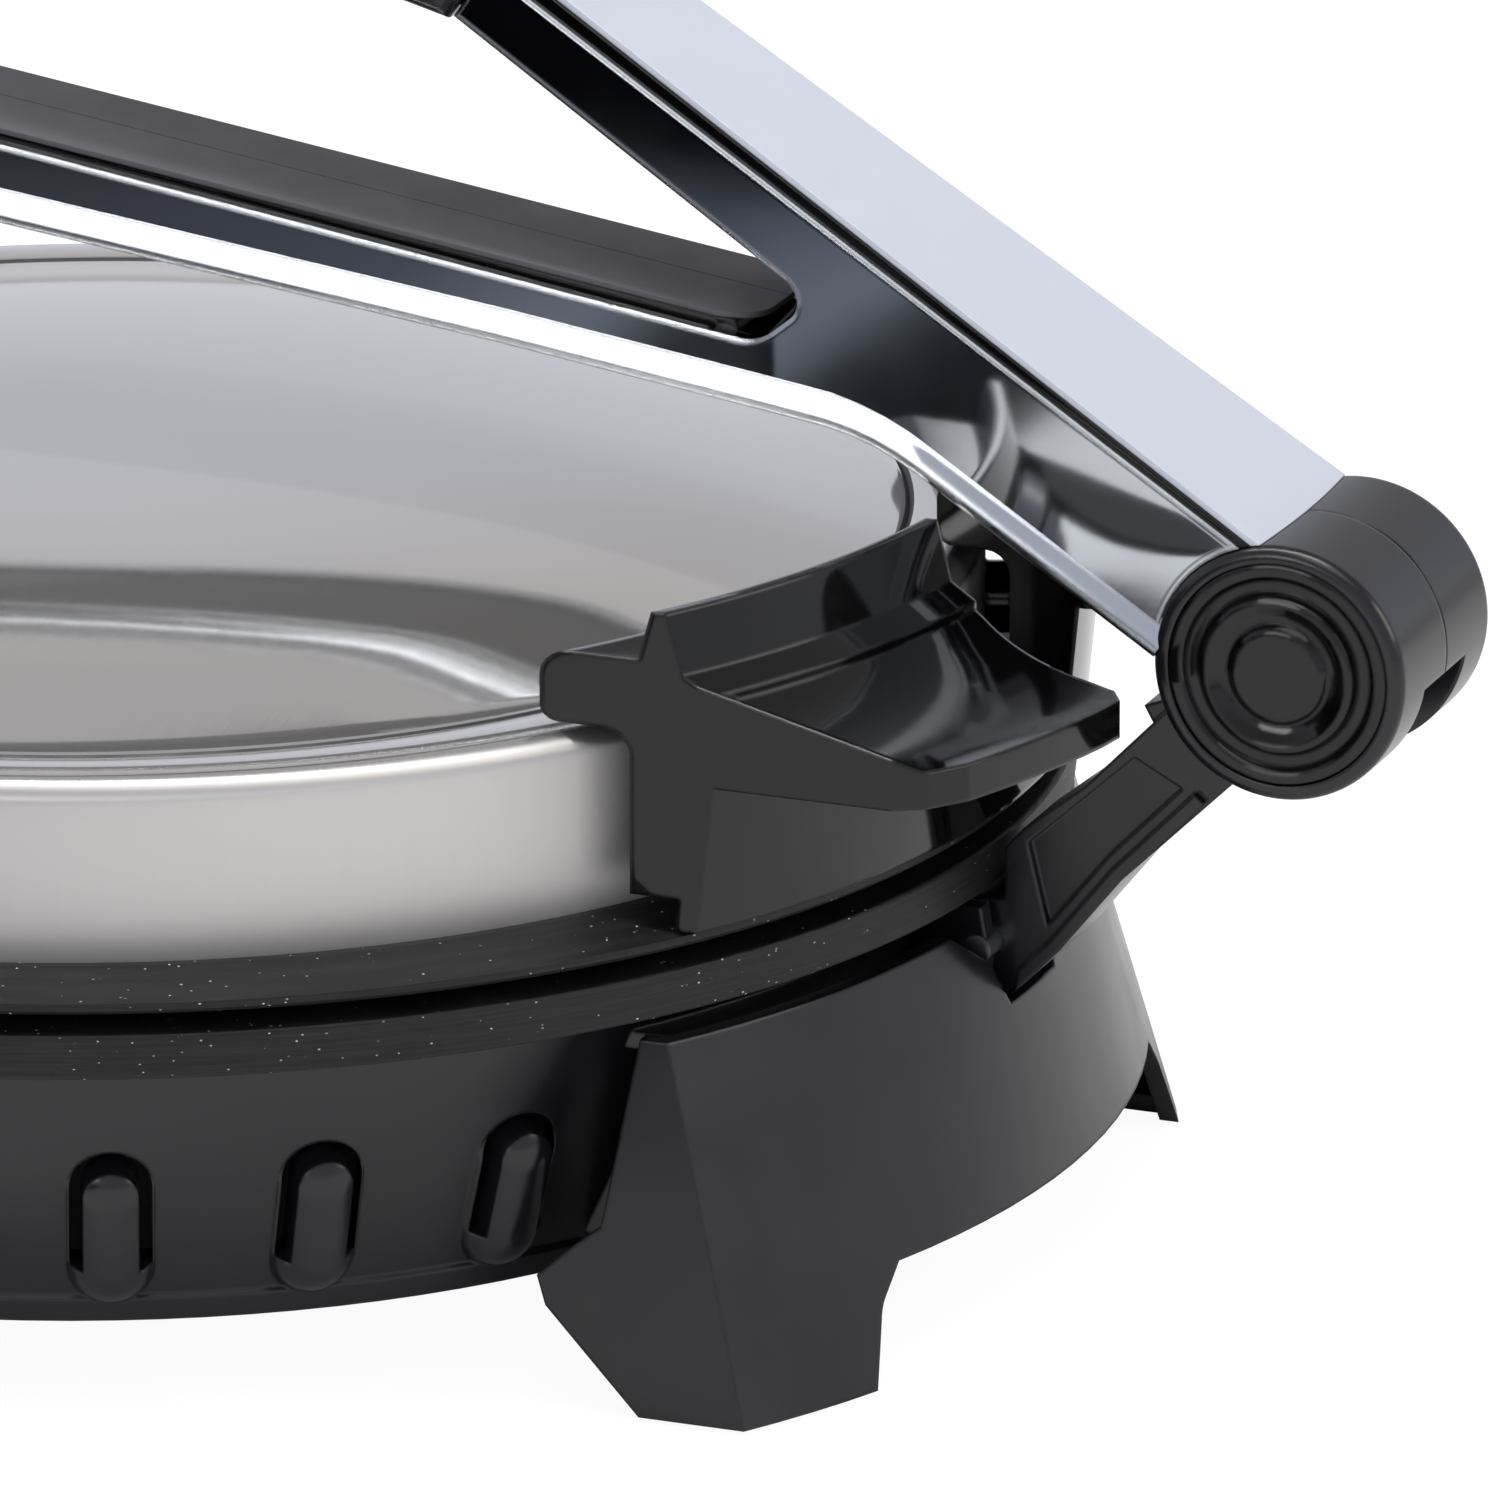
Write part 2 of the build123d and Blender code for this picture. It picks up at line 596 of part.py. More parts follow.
# lugs for the strut pin, on the bowl wall inside the notch
LUG_IN = STRUT_FLANGE_HALF + LUG_GAP
LUG_LOW_Z = STRUT_PIN_Z - 23.0
LUG_TOP_Z = STRUT_PIN_Z + 6.0
lug_flat = face([
    (-bowl_r(LUG_LOW_Z) + 1.0, LUG_LOW_Z), (-bowl_r(LUG_TOP_Z) + 1.0, LUG_TOP_Z),
    (STRUT_PIN_Y - 0.6, LUG_TOP_Z), (STRUT_PIN_Y - 1.6, STRUT_PIN_Z),
    (STRUT_PIN_Y - 1.0, STRUT_PIN_Z - 6.0), (STRUT_PIN_Y + 8.5, LUG_LOW_Z),
])
for s in (-1.0, 1.0):
    x0 = min(s * LUG_IN, s * (LUG_IN + LUG_T))
    housing = housing + prism_yz(lug_flat, x0, x0 + LUG_T)
past_lug = LUG_IN + LUG_T + 1.0
housing = housing - rod_x(STRUT_PIN_R + SEAT_FIT, -past_lug, past_lug, STRUT_PIN_Y, STRUT_PIN_Z)

# posts for the plate screws and, between them, posts for the bottom cover
POST_SHELF_Z = 32.0
COVER_POST_ANGLES = [0.0, 90.0, 180.0, 270.0]
post = disc(BOSS_R, POST_SHELF_Z, BOSS_LOW_Z, BOSS_PCD_R, 0)
POST_ARM_HALF = 1.4
arm = block(BOSS_PCD_R, bowl_r(POST_SHELF_Z) - 1.0, -POST_ARM_HALF, POST_ARM_HALF, POST_SHELF_Z,
            BOSS_LOW_Z - 2.0)
post = post + arm - disc(SCREW_R, POST_SHELF_Z - 1.0, BOSS_LOW_Z + 1.0, BOSS_PCD_R, 0)
for p in around(post, BOSS_ANGLES):
    housing = housing + p
COVER_TOP_Z = COVER_Z + COVER_SHEET
COVER_POST_TOP_Z = COVER_TOP_Z + 14.2
COVER_POST_R = 4.5
arm_low_z = COVER_POST_TOP_Z - 12.0
arm_top_z = COVER_POST_TOP_Z - 2.0
post = disc(COVER_POST_R, COVER_TOP_Z, COVER_POST_TOP_Z, BOSS_PCD_R, 0)
arm = prism_yz(face([(-1.4, arm_low_z), (1.4, arm_low_z), (1.4, arm_top_z), (-1.4, arm_top_z)]),
               BOSS_PCD_R, bowl_r(arm_low_z) - 1.0)
post = post + arm - disc(COVER_SCREW_R + 0.05, COVER_TOP_Z, arm_top_z, BOSS_PCD_R, 0)
for p in around(post, COVER_POST_ANGLES):
    housing = housing + p

# hinge ears on the rear skirt
ear_flat = face([
    (HINGE_Y - 34.0, HINGE_Z - 10.0), (HINGE_Y - 34.0, HINGE_Z + 12.0), (HINGE_Y, HINGE_Z + KNUCKLE_R),
    (HINGE_Y + KNUCKLE_R * 0.7, HINGE_Z + KNUCKLE_R * 0.7), (HINGE_Y + KNUCKLE_R, HINGE_Z),
    (HINGE_Y + KNUCKLE_R * 0.7, HINGE_Z - KNUCKLE_R * 0.7), (HINGE_Y, HINGE_Z - KNUCKLE_R),
])
inside_skirt = skirt_solid(1.0)
inner_ear = ARM_IN - EAR_GAP - EAR_T
outer_ear = ARM_OUT + EAR_GAP
ear_spans = [(inner_ear, inner_ear + EAR_T), (outer_ear, outer_ear + EAR_T)]
for a, b in ear_spans:
    for s in (-1.0, 1.0):
        x0 = min(s * a, s * b)
        ear = prism_yz(ear_flat, x0, x0 + EAR_T) - inside_skirt
        ear = ear - rod_x(HINGE_PIN_R + SEAT_FIT, x0 - 1.0, x0 + EAR_T + 1.0, HINGE_Y, HINGE_Z)
        housing = housing + ear

# cord inlet hole, straight through skirt and bowl at the rear
BUSH_IN_Y = bowl_r(INLET_Z) - BOWL_WALL - 5.89
BUSH_SEAT_Y = skirt_r(INLET_Z - INLET_R - BUSH_FLANGE) + 0.66
BUSH_OUT_Y = BUSH_SEAT_Y + BUSH_FLANGE
housing = housing - rod_y(INLET_R, BUSH_IN_Y - 5.0, BUSH_OUT_Y + 5.0, 0, INLET_Z)
write("housing", housing)

# ---- cord inlet bush ----
bush = rod_y(INLET_R - 0.05, BUSH_IN_Y, BUSH_SEAT_Y, 0, INLET_Z)
bush = bush + rod_y(INLET_R + BUSH_FLANGE, BUSH_SEAT_Y, BUSH_OUT_Y, 0, INLET_Z)
bush = bush - rod_y(CORD_R, BUSH_IN_Y - 5.0, BUSH_OUT_Y + 5.0, 0, INLET_Z)
write("cord_inlet_bush", bush)

# ---- bottom cover and its screws, foot pads ----
cover = disc(BOWL_BOTTOM_R - BOWL_WALL + 0.2, COVER_Z, COVER_TOP_Z)
cover_hole = disc(COVER_SCREW_R + 0.35, COVER_Z, COVER_TOP_Z, BOSS_PCD_R, 0)
cover = cover - group(around(cover_hole, COVER_POST_ANGLES))
vent = joined([
    disc(VENT_R, COVER_Z, COVER_TOP_Z, VENT_PCD_R, -VENT_HALF),
    disc(VENT_R, COVER_Z, COVER_TOP_Z, VENT_PCD_R, VENT_HALF),
    block(VENT_PCD_R - VENT_R, VENT_PCD_R + VENT_R, -VENT_HALF, VENT_HALF, COVER_Z, COVER_TOP_Z),
])
for v in around(vent, [0.0, 60.0, 120.0, 180.0, 240.0, 300.0]):
    cover = cover - v
write("bottom_cover", cover)
cover_screw = screw(BOSS_PCD_R, 0, COVER_Z, 12.0, True, COVER_SCREW_R)
write("bottom_cover_screws", group(around(cover_screw, COVER_POST_ANGLES)))
plate_screw = screw(BOSS_PCD_R, 0, POST_SHELF_Z, 20.0, True)
write("plate_screws", group(around(plate_screw, BOSS_ANGLES)))

pads = []
for half, sign in ((SKIRT_FRONT_HALF, -1.0), (SKIRT_REAR_HALF, 1.0)):
    x = side_x(half, FOOT_Z) - FOOT_WIDTH / 2
    y = math.sqrt((skirt_r(FOOT_Z) - 9.0) ** 2 - x ** 2)
    for s in (-1.0, 1.0):
        pads.append(disc(5.0, 0.0, FOOT_Z, s * x, sign * y))
write("foot_pads", group(pads))

# ---- wiring block on the bottom cover ----
tb = block(-16.0, 16.0, 58.0, 70.0, COVER_TOP_Z, COVER_TOP_Z + 12.0)
for x in (-10.0, 0.0, 10.0):
    tb = tb - disc(2.0, COVER_TOP_Z + 5.0, COVER_TOP_Z + 12.0, x, 64.0)
write("terminal_block", tb)

# ---- strut: pin eye below, hub eye above, recessed sides, one wide lower flange ----
# the outlines are drawn from the pin's axis
strut_flat = face(shifted([
    (-23.5, 33.6), (-13.6, 23.3), (-5.0, 16.4), (-2.3, 13.4), (-2.3, 6.0),
    (2.0, 5.6), (4.4, 0.0), (3.0, -4.0), (0.0, -6.3), (-4.1, -6.6), (-10.5, 0.0),
    (-19.3, 11.0), (-34.6, 26.1), (-HUB_AHEAD - 0.2, HUB_ABOVE - 9.8), (-HUB_AHEAD - 0.2, HUB_ABOVE),
    (-HUB_AHEAD + 11.4, HUB_ABOVE - 2.0),
], STRUT_PIN_Y, STRUT_PIN_Z))
strut = prism_yz(strut_flat, -STRUT_HALF, STRUT_HALF)
strut = strut + rod_x(EYE_R, -STRUT_HALF, STRUT_HALF, HUB_Y, HUB_Z)
strut = strut + rod_x(STRUT_EYE_R - 0.4, -STRUT_HALF, STRUT_HALF, STRUT_PIN_Y, STRUT_PIN_Z)
flange_flat = face(shifted([
    (-4.1, -6.6), (-10.5, 0.0), (-19.3, 11.0), (-31.0, 23.2), (-29.6, 24.4),
    (-17.8, 12.2), (-9.1, 1.2), (-4.6, -3.4),
], STRUT_PIN_Y, STRUT_PIN_Z))
strut = strut + prism_yz(flange_flat, -STRUT_FLANGE_HALF, STRUT_FLANGE_HALF)
recess_flat = face(shifted([
    (-8.4, 3.0), (-17.2, 14.0), (-27.5, 24.6), (-20.6, 28.2), (-13.0, 21.2), (-5.6, 14.4),
], STRUT_PIN_Y, STRUT_PIN_Z))
for s in (-1.0, 1.0):
    x0 = s * STRUT_HALF - (STRUT_RECESS if s > 0 else 0.0)
    strut = strut - prism_yz(recess_flat, x0, x0 + STRUT_RECESS)
strut = strut - rod_x(STRUT_PIN_R + PIN_FIT, -20.0, 20.0, STRUT_PIN_Y, STRUT_PIN_Z)
strut = strut - rod_x(AXLE_R + PIN_FIT, -20.0, 20.0, HUB_Y, HUB_Z)
barb = prism_yz(face(shifted(
    [(-24.5, 36.0), (-20.8, 34.5), (-22.2, 32.0), (-27.0, 33.0)], STRUT_PIN_Y, STRUT_PIN_Z)), -3.0, 3.0)
strut = strut + barb
write("strut", strut)
pin_half = LUG_IN + LUG_T
write("strut_pin", rod_x(STRUT_PIN_R, -pin_half, pin_half, STRUT_PIN_Y, STRUT_PIN_Z))

# ---- hub: two barrel halves clamped on one axle, turning on the strut eye ----
hub_solid = rod_x(HUB_R, -HUB_HALF, HUB_HALF, HUB_Y, HUB_Z)
CAVITY_HALF = STRUT_FLANGE_HALF + 0.4
cavity = rod_x(EYE_R + HUB_BORE_GAP, -CAVITY_HALF, CAVITY_HALF, HUB_Y, HUB_Z)
sector_points = [(HUB_Y, HUB_Z)]
steps = 12
for i in range(steps + 1):
    a = math.radians(SLOT_FROM_DEG + (SLOT_TO_DEG - SLOT_FROM_DEG) * i / steps)
    sector_points.append((HUB_Y + 30.0 * math.cos(a), HUB_Z + 30.0 * math.sin(a)))
sector = prism_yz(face(sector_points), -CAVITY_HALF, CAVITY_HALF)
neck = prism_yz(face(shifted([
    (-0.6, -11.2), (27.4, -37.2), (37.8, -27.0), (21.8, -11.9), (11.8, -1.5), (0.8, 3.0),
], HUB_Y, HUB_Z)), -CAVITY_HALF, CAVITY_HALF)
for turn in (0.0, NECK_TURN_DEG):
    swung = Pos(0, HUB_Y, HUB_Z) * Rot(-turn, 0, 0) * Pos(0, -HUB_Y, -HUB_Z) * neck
    sector = sector + swung
barrel = hub_solid - cavity - sector - rod_x(AXLE_R + SEAT_FIT, -HUB_HALF, HUB_HALF, HUB_Y, HUB_Z)
CAP_SEAT = 1.2
for s in (-1.0, 1.0):
    x0 = s * HUB_HALF - (CAP_SEAT if s > 0 else 0.0)
    barrel = barrel - rod_x(HUB_CAP_R, x0, x0 + CAP_SEAT, HUB_Y, HUB_Z)
near_half = barrel & block(-FAR, -HUB_PARTING, -FAR, FAR, 0.0, FAR)
far_half = barrel & block(HUB_PARTING, FAR, -FAR, FAR, 0.0, FAR)


def rim_edges(shape, x):
    full_turn = 2 * math.pi * (HUB_R - 0.5)
    return [e for e in shape.edges() if abs(e.center().X - x) < 0.05 and e.length > full_turn]


near_half = soften(near_half, rim_edges(near_half, -HUB_HALF), [1.6, 1.2, 0.8])
far_half = soften(far_half, rim_edges(far_half, HUB_HALF), [1.6, 1.2, 0.8])
write("hub_near_half", near_half)
write("hub_far_half", far_half)
write("hub_axle", rod_x(AXLE_R, -HUB_HALF + CAP_SEAT, HUB_HALF - CAP_SEAT, HUB_Y, HUB_Z))


def hub_cap(sign):
    # concentric rings, seen from the side: outer rim, valley, raised ring, valley, button
    base = HUB_HALF - CAP_SEAT
    profile = [
        (0.0, base), (HUB_CAP_R - 0.05, base), (HUB_CAP_R - 0.05, HUB_HALF - 0.3), (14.9, HUB_HALF - 0.1),
        (13.6, HUB_HALF - 0.1), (12.9, HUB_HALF - 0.9), (11.2, HUB_HALF - 0.9), (10.6, HUB_HALF + 0.4),
        (9.8, HUB_HALF + 0.6), (8.2, HUB_HALF - 0.3), (7.1, HUB_HALF - 0.6), (6.4, HUB_HALF + 0.2),
        (5.9, HUB_HALF + 0.4), (0.0, HUB_HALF + 0.4),
    ]
    cap = revolve(Plane.XZ * face(profile), axis=Axis.Z)
    return Pos(0, HUB_Y, HUB_Z) * Rot(0, sign * 90.0, 0) * cap


write("hub_near_cap", hub_cap(-1.0))
write("hub_far_cap", hub_cap(1.0))

# ---- lever: bright cheeks on a black core, satin cover above, dark caps on the lower rail ----
U = (math.cos(math.radians(LEVER_DEG)), math.sin(math.radians(LEVER_DEG)))


def on_branch(s, n):
    return (HUB_Y + s * U[0] - n * U[1], HUB_Z + s * U[1] + n * U[0])


def rail_low(y):
    return HUB_Z + RAIL_LOW_RISE + (y - HUB_Y) * RAIL_LOW_SLOPE


def rail_top(y):
    return HUB_Z + RAIL_TOP_RISE + (y - HUB_Y) * RAIL_TOP_SLOPE


def cap_top(y):
    return HUB_Z + RAIL_CAP_RISE + (y - HUB_Y) * RAIL_CAP_SLOPE


def cheek_top(s):
    return CHEEK_TOP_N - s * CHEEK_TOP_FALL


def cover_edge(s):
    return COVER_EDGE_N - s * COVER_EDGE_FALL


def half_width(y):
    return LEVER_HALF - (y - HUB_Y) * LEVER_TAPER


RAIL_HALF = half_width(FORK_Y)


LEVER_FRONT_Y = HUB_Y - 22.2
LEVER_BACK_Y = HUB_Y + 267.8


def lower_plan(inset):
    pts = [
        (half_width(LEVER_FRONT_Y) - inset, LEVER_FRONT_Y),
        (RAIL_HALF - inset, FORK_Y), (RAIL_HALF - inset, LEVER_BACK_Y),
    ]
    return prism_xy(face(pts + [(-x, y) for x, y in reversed(pts)]), 0.0, 2 * FAR)


def upper_plan(inset):
    pts = [
        (half_width(LEVER_FRONT_Y) - inset, LEVER_FRONT_Y),
        (half_width(LEVER_BACK_Y) - inset, LEVER_BACK_Y),
    ]
    return prism_xy(face(pts + [(-x, y) for x, y in reversed(pts)]), 0.0, 2 * FAR)


# everything above the fork between the two branches belongs to the upper one
upper_region = face([
    (FORK_Y, HUB_Z + 44.0), (LEVER_BACK_Y, HUB_Z + 112.0), (LEVER_BACK_Y, 2 * FAR), (FORK_Y, 2 * FAR),
])


def lever_body(profile, low_solid, high_solid):
    low_part = prism_yz(profile - upper_region, -FAR, FAR) & low_solid
    high_part = prism_yz(profile & upper_region, -FAR, FAR) & high_solid
    return low_part + high_part


CHEEK_END = GRIP_START - 0.3
BEND = (HUB_Y + 61.7, HUB_Z + 25.7)
RAIL_START_Y = HUB_Y + 111.8
lower_line = [
    (HUB_Y + 16.83, HUB_Z - 0.23), (HUB_Y + 52.5, HUB_Z + 21.65), BEND,
    (RAIL_START_Y, rail_low(RAIL_START_Y)), (RAIL_END_Y, rail_low(RAIL_END_Y)),
]
APEX_LOW = (HUB_Y + 75.2, rail_top(HUB_Y + 75.2))
APEX = (HUB_Y + 68.2, HUB_Z + 42.2)
cheek_flat = rounded(
    lower_line + [
        (RAIL_END_Y, rail_top(RAIL_END_Y)), APEX_LOW, APEX,
        on_branch(84.0, BRANCH_UNDER), on_branch(CHEEK_END, BRANCH_UNDER - 1.0),
        on_branch(CHEEK_END, cheek_top(CHEEK_END)), on_branch(11.0, cheek_top(11.0)),
        (HUB_Y - 1.2, HUB_Z + 4.0),
    ],
    [(APEX, 3.0), (APEX_LOW, 6.0), (BEND, 20.0)],
)
hub_clear = rod_x(HUB_R + 0.05, -40.0, 40.0, HUB_Y, HUB_Z)
lower_sides = lower_plan(0.0) - lower_plan(SIDE_T)
upper_sides = upper_plan(0.0) - upper_plan(SIDE_T)
cheeks = lever_body(cheek_flat, lower_sides, upper_sides) - hub_clear
near_cheek = cheeks & block(-FAR, 0.0, -FAR, FAR, 0.0, 2 * FAR)
far_cheek = cheeks & block(0.0, FAR, -FAR, FAR, 0.0, 2 * FAR)


def under_edges(shape):
    # outer edges along the lower outline
    found = []
    for e in shape.edges():
        c = e.center()
        outer = abs(abs(c.X) - (half_width(c.Y) if c.Y < FORK_Y else RAIL_HALF)) < 0.2
        for (y0, z0), (y1, z1) in zip(lower_line, lower_line[1:]):
            above = c.Z - z0 - (z1 - z0) * (c.Y - y0) / (y1 - y0)
            if outer and y0 - 1.0 < c.Y < y1 + 1.0 and abs(above) < 1.0:
                if e.length > 4.0 and abs(e.tangent_at(0.5).X) < 0.3:
                    found.append(e)
                    break
    return found


def over_edges(shape):
    # outer edges along the top of the lower rail and of the upper branch
    found = []
    for e in shape.edges():
        c = e.center()
        on_rail = c.Y >= FORK_Y and c.Z <= HUB_Z + 57.0
        outer = abs(abs(c.X) - (RAIL_HALF if on_rail else half_width(c.Y))) < 0.2
        s = (c.Y - HUB_Y) * U[0] + (c.Z - HUB_Z) * U[1]
        n = (c.Z - HUB_Z) * U[0] - (c.Y - HUB_Y) * U[1]
        on_top = abs(n - cheek_top(s)) < 0.3 or abs(c.Z - rail_top(c.Y)) < 0.3
        if outer and on_top and e.length > 8.0 and abs(e.tangent_at(0.5).X) < 0.3:
            found.append(e)
    return found


near_cheek = soften(near_cheek, under_edges(near_cheek), [2.2, 1.8, 1.2])
far_cheek = soften(far_cheek, under_edges(far_cheek), [2.2, 1.8, 1.2])
near_cheek = soften(near_cheek, over_edges(near_cheek), [0.5, 0.3])
far_cheek = soften(far_cheek, over_edges(far_cheek), [0.5, 0.3])
write("lever_near_cheek", near_cheek)
write("lever_far_cheek", far_cheek)

# black core: fills between the cheeks, laps over their top edges, stands up under the caps and cover
CORE_END = GRIP_START + 40.0
CORE_APEX = (APEX[0] + 1.4, APEX[1] + 0.4)
core_flat = rounded(
    [
        (HUB_Y + 18.6, HUB_Z + 1.8), (HUB_Y + 52.8, HUB_Z + 22.6), (BEND[0] + 0.2, BEND[1] + 0.9),
        (RAIL_START_Y, rail_low(RAIL_START_Y) + 0.8),
        (RAIL_END_Y - 0.6, rail_low(RAIL_END_Y) + 0.8), (RAIL_END_Y - 0.6, rail_top(RAIL_END_Y) - 0.2),
        APEX_LOW, CORE_APEX, on_branch(86.0, BRANCH_UNDER + 0.2),
        on_branch(CORE_END, BRANCH_UNDER - 0.8),
        on_branch(CORE_END, cover_edge(CORE_END) - COVER_EDGE_T),
        on_branch(12.0, cover_edge(12.0) - COVER_EDGE_T), (HUB_Y - 0.2, HUB_Z + 4.0),
    ],
    [(CORE_APEX, 3.0)],
)
core = lever_body(core_flat, lower_plan(SIDE_T), upper_plan(SIDE_T))
lap_flat = face([
    on_branch(10.5, cheek_top(10.5)), on_branch(GRIP_START - 0.3, cheek_top(GRIP_START - 0.3)),
    on_branch(GRIP_START - 0.3, cover_edge(GRIP_START - 0.3) - COVER_EDGE_T),
    on_branch(10.5, cover_edge(10.5) - COVER_EDGE_T),
])
core = core + (prism_yz(lap_flat, -FAR, FAR) & upper_plan(0.4))
LAP_START_Y = HUB_Y + 81.8
rail_lap = face([
    (LAP_START_Y, rail_top(LAP_START_Y)), (RAIL_END_Y - 0.6, rail_top(RAIL_END_Y - 0.6)),
    (RAIL_END_Y - 0.6, rail_top(RAIL_END_Y) + 0.45),
    (LAP_START_Y + 0.5, rail_top(LAP_START_Y + 0.5) + 0.45),
])
core = core + (prism_yz(rail_lap, -FAR, FAR) & lower_plan(0.4))
UPSTAND_Y = HUB_Y + 78.8
upstand = face([
    (UPSTAND_Y, rail_top(UPSTAND_Y) - 1.0), (RAIL_END_Y - 1.2, rail_top(RAIL_END_Y) - 1.0),
    (RAIL_END_Y - 1.2, cap_top(RAIL_END_Y - 1.2) - RAIL_CAP_T),
    (UPSTAND_Y + 0.5, cap_top(UPSTAND_Y + 0.5) - RAIL_CAP_T),
])
core = core + prism_yz(upstand, -RAIL_CAP_HALF + 0.3, RAIL_CAP_HALF - 0.3)
core = core - hub_clear
PAD_LOW = DOME_CENTRE_Z + PAD_CLEAR
nose = prism_yz(face([
    (PAD_Y - 15.0, rail_low(PAD_Y) + 1.4), (PAD_Y + 15.0, rail_low(PAD_Y) + 4.0),
    (PAD_Y + 10.0, PAD_LOW + PAD_T), (PAD_Y - 10.0, PAD_LOW + PAD_T),
]), -10.0, 10.0)
core = core + nose
write("lever_core", core)
pad = disc(PAD_R, PAD_LOW, PAD_LOW + PAD_T, 0, PAD_Y)
pad = soften(pad, pad.edges(), [0.8, 0.4])
write("press_pad", pad)

# satin cover, crowned across its width, following the taper of the branch
CROWN_R = 260.0
crown_n = COVER_EDGE_N + half_width(HUB_Y) ** 2 / (2 * CROWN_R)
crown_deg = LEVER_DEG - math.degrees(COVER_EDGE_FALL + 0.002)
crown_dir = (math.cos(math.radians(crown_deg)), math.sin(math.radians(crown_deg)))
start = on_branch(0.0, crown_n)
cyl_y = start[0] + CROWN_R * crown_dir[1]
cyl_z = start[1] - CROWN_R * crown_dir[0]
crown_plane = Plane(origin=(0, cyl_y, cyl_z), x_dir=(1, 0, 0), z_dir=(0, *crown_dir))
crown = crown_plane * Cylinder(CROWN_R, 400.0)
COVER_START = 10.2
COVER_END = GRIP_START - 0.3
cover_flat = face([
    on_branch(COVER_START, cover_edge(COVER_START) - COVER_EDGE_T),
    on_branch(COVER_END, cover_edge(COVER_END) - COVER_EDGE_T),
    on_branch(COVER_END, 30.0), on_branch(COVER_START, 30.0),
])
top_cover = (prism_yz(cover_flat, -FAR, FAR) & upper_plan(0.5) & crown) - hub_clear
write("lever_top_cover", top_cover)

# dark caps along the lower rail, parted down the middle
CAP_START_Y = HUB_Y + 76.3
cap_side = face([
    (FORK_Y, cap_top(FORK_Y) - RAIL_CAP_T), (RAIL_END_Y - 1.0, cap_top(RAIL_END_Y - 1.0) - RAIL_CAP_T),
    (RAIL_END_Y - 1.0, cap_top(RAIL_END_Y - 1.0)), (FORK_Y, cap_top(FORK_Y)),
])
cap_plan = rounded(
    [
        (-RAIL_CAP_HALF, CAP_START_Y), (-RAIL_CAP_HALF, RAIL_END_Y),
        (RAIL_CAP_HALF, RAIL_END_Y), (RAIL_CAP_HALF, CAP_START_Y),
    ],
    [((-RAIL_CAP_HALF, CAP_START_Y), 7.0), ((RAIL_CAP_HALF, CAP_START_Y), 7.0)],
)
caps = prism_yz(cap_side, -FAR, FAR) & prism_xy(cap_plan, 0.0, FAR)
caps = caps - cheeks - core
write("rail_cap_near", caps & block(-FAR, RAIL_SEAM_X - RAIL_SEAM / 2, -FAR, FAR, 0.0, FAR))
write("rail_cap_far", caps & block(RAIL_SEAM_X + RAIL_SEAM / 2, FAR, -FAR, FAR, 0.0, FAR))

# ---- hand grip on the upper branch ----
grip_end_top = on_branch(BRANCH_LENGTH, GRIP_OVER - 2.0)
grip_end_low = on_branch(BRANCH_LENGTH, GRIP_UNDER - 1.0)
grip_belly = on_branch(GRIP_START + 18.0, GRIP_UNDER)
grip_flat = rounded(
    [
        on_branch(GRIP_START, GRIP_OVER), grip_end_top, grip_end_low, grip_belly,
        on_branch(GRIP_START, BRANCH_UNDER - 1.6),
    ],
    [(grip_end_low, 8.0), (grip_end_top, 6.0), (grip_belly, 12.0)],
)
grip = prism_yz(grip_flat, -GRIP_HALF, GRIP_HALF)
grip_sides = [e for e in grip.edges() if abs(abs(e.center().X) - GRIP_HALF) < 0.02]
grip = soften(grip, grip_sides, [3.0, 2.0, 1.0])
grip = grip - core
write("hand_grip", grip)

# ---- lid shell: rolled rim, flat band, fine groove, dome that is flat in the middle ----
DOME_EDGE_R = GROOVE_R - DOME_EDGE_INSET
DOME_DROP = DOME_RISE - DOME_EDGE_RISE
DOME_STEPS = 20


def dome(r):
    return DOME_CENTRE_Z - DOME_DROP * (r / DOME_EDGE_R) ** DOME_POWER


outer_line = [(LID_R, LID_FOOT_Z)]
roll_c = (LID_R - LID_ROLL_R, LID_TOP_Z - 1.0 - LID_ROLL_R)
for i in range(9):
    a = math.radians(i * 80.0 / 8)
    outer_line.append((roll_c[0] + LID_ROLL_R * math.cos(a), roll_c[1] + LID_ROLL_R * math.sin(a)))
outer_line += [
    (GROOVE_R + 1.0, LID_TOP_Z), (GROOVE_R + 0.4, LID_TOP_Z - 0.5), (GROOVE_R - 0.4, LID_TOP_Z - 0.4),
]
dome_rings = [DOME_EDGE_R * i / DOME_STEPS for i in range(DOME_STEPS + 1)]
outer_line += [(r, dome(r)) for r in reversed(dome_rings)]
inner_line = [(r, dome(r) - LID_SHEET) for r in dome_rings]
inner_line += [(GROOVE_R, LID_TOP_Z - 0.5 - LID_SHEET)]
for i in range(9):
    a = math.radians((8 - i) * 80.0 / 8)
    r_in = LID_ROLL_R - LID_SHEET
    inner_line.append((roll_c[0] + r_in * math.cos(a), roll_c[1] + r_in * math.sin(a)))
inner_line += [(LID_R - LID_SHEET, LID_FOOT_Z)]
lid_shell = lathe(outer_line + inner_line)
for d in FIX_DIRS:
    lid_shell = lid_shell - Rot(0, 0, d) * radial_rod(SCREW_R + 0.2, FIX_LUG_IN_R, LID_R + 8.0, FIX_Z)
write("lid_shell", lid_shell)

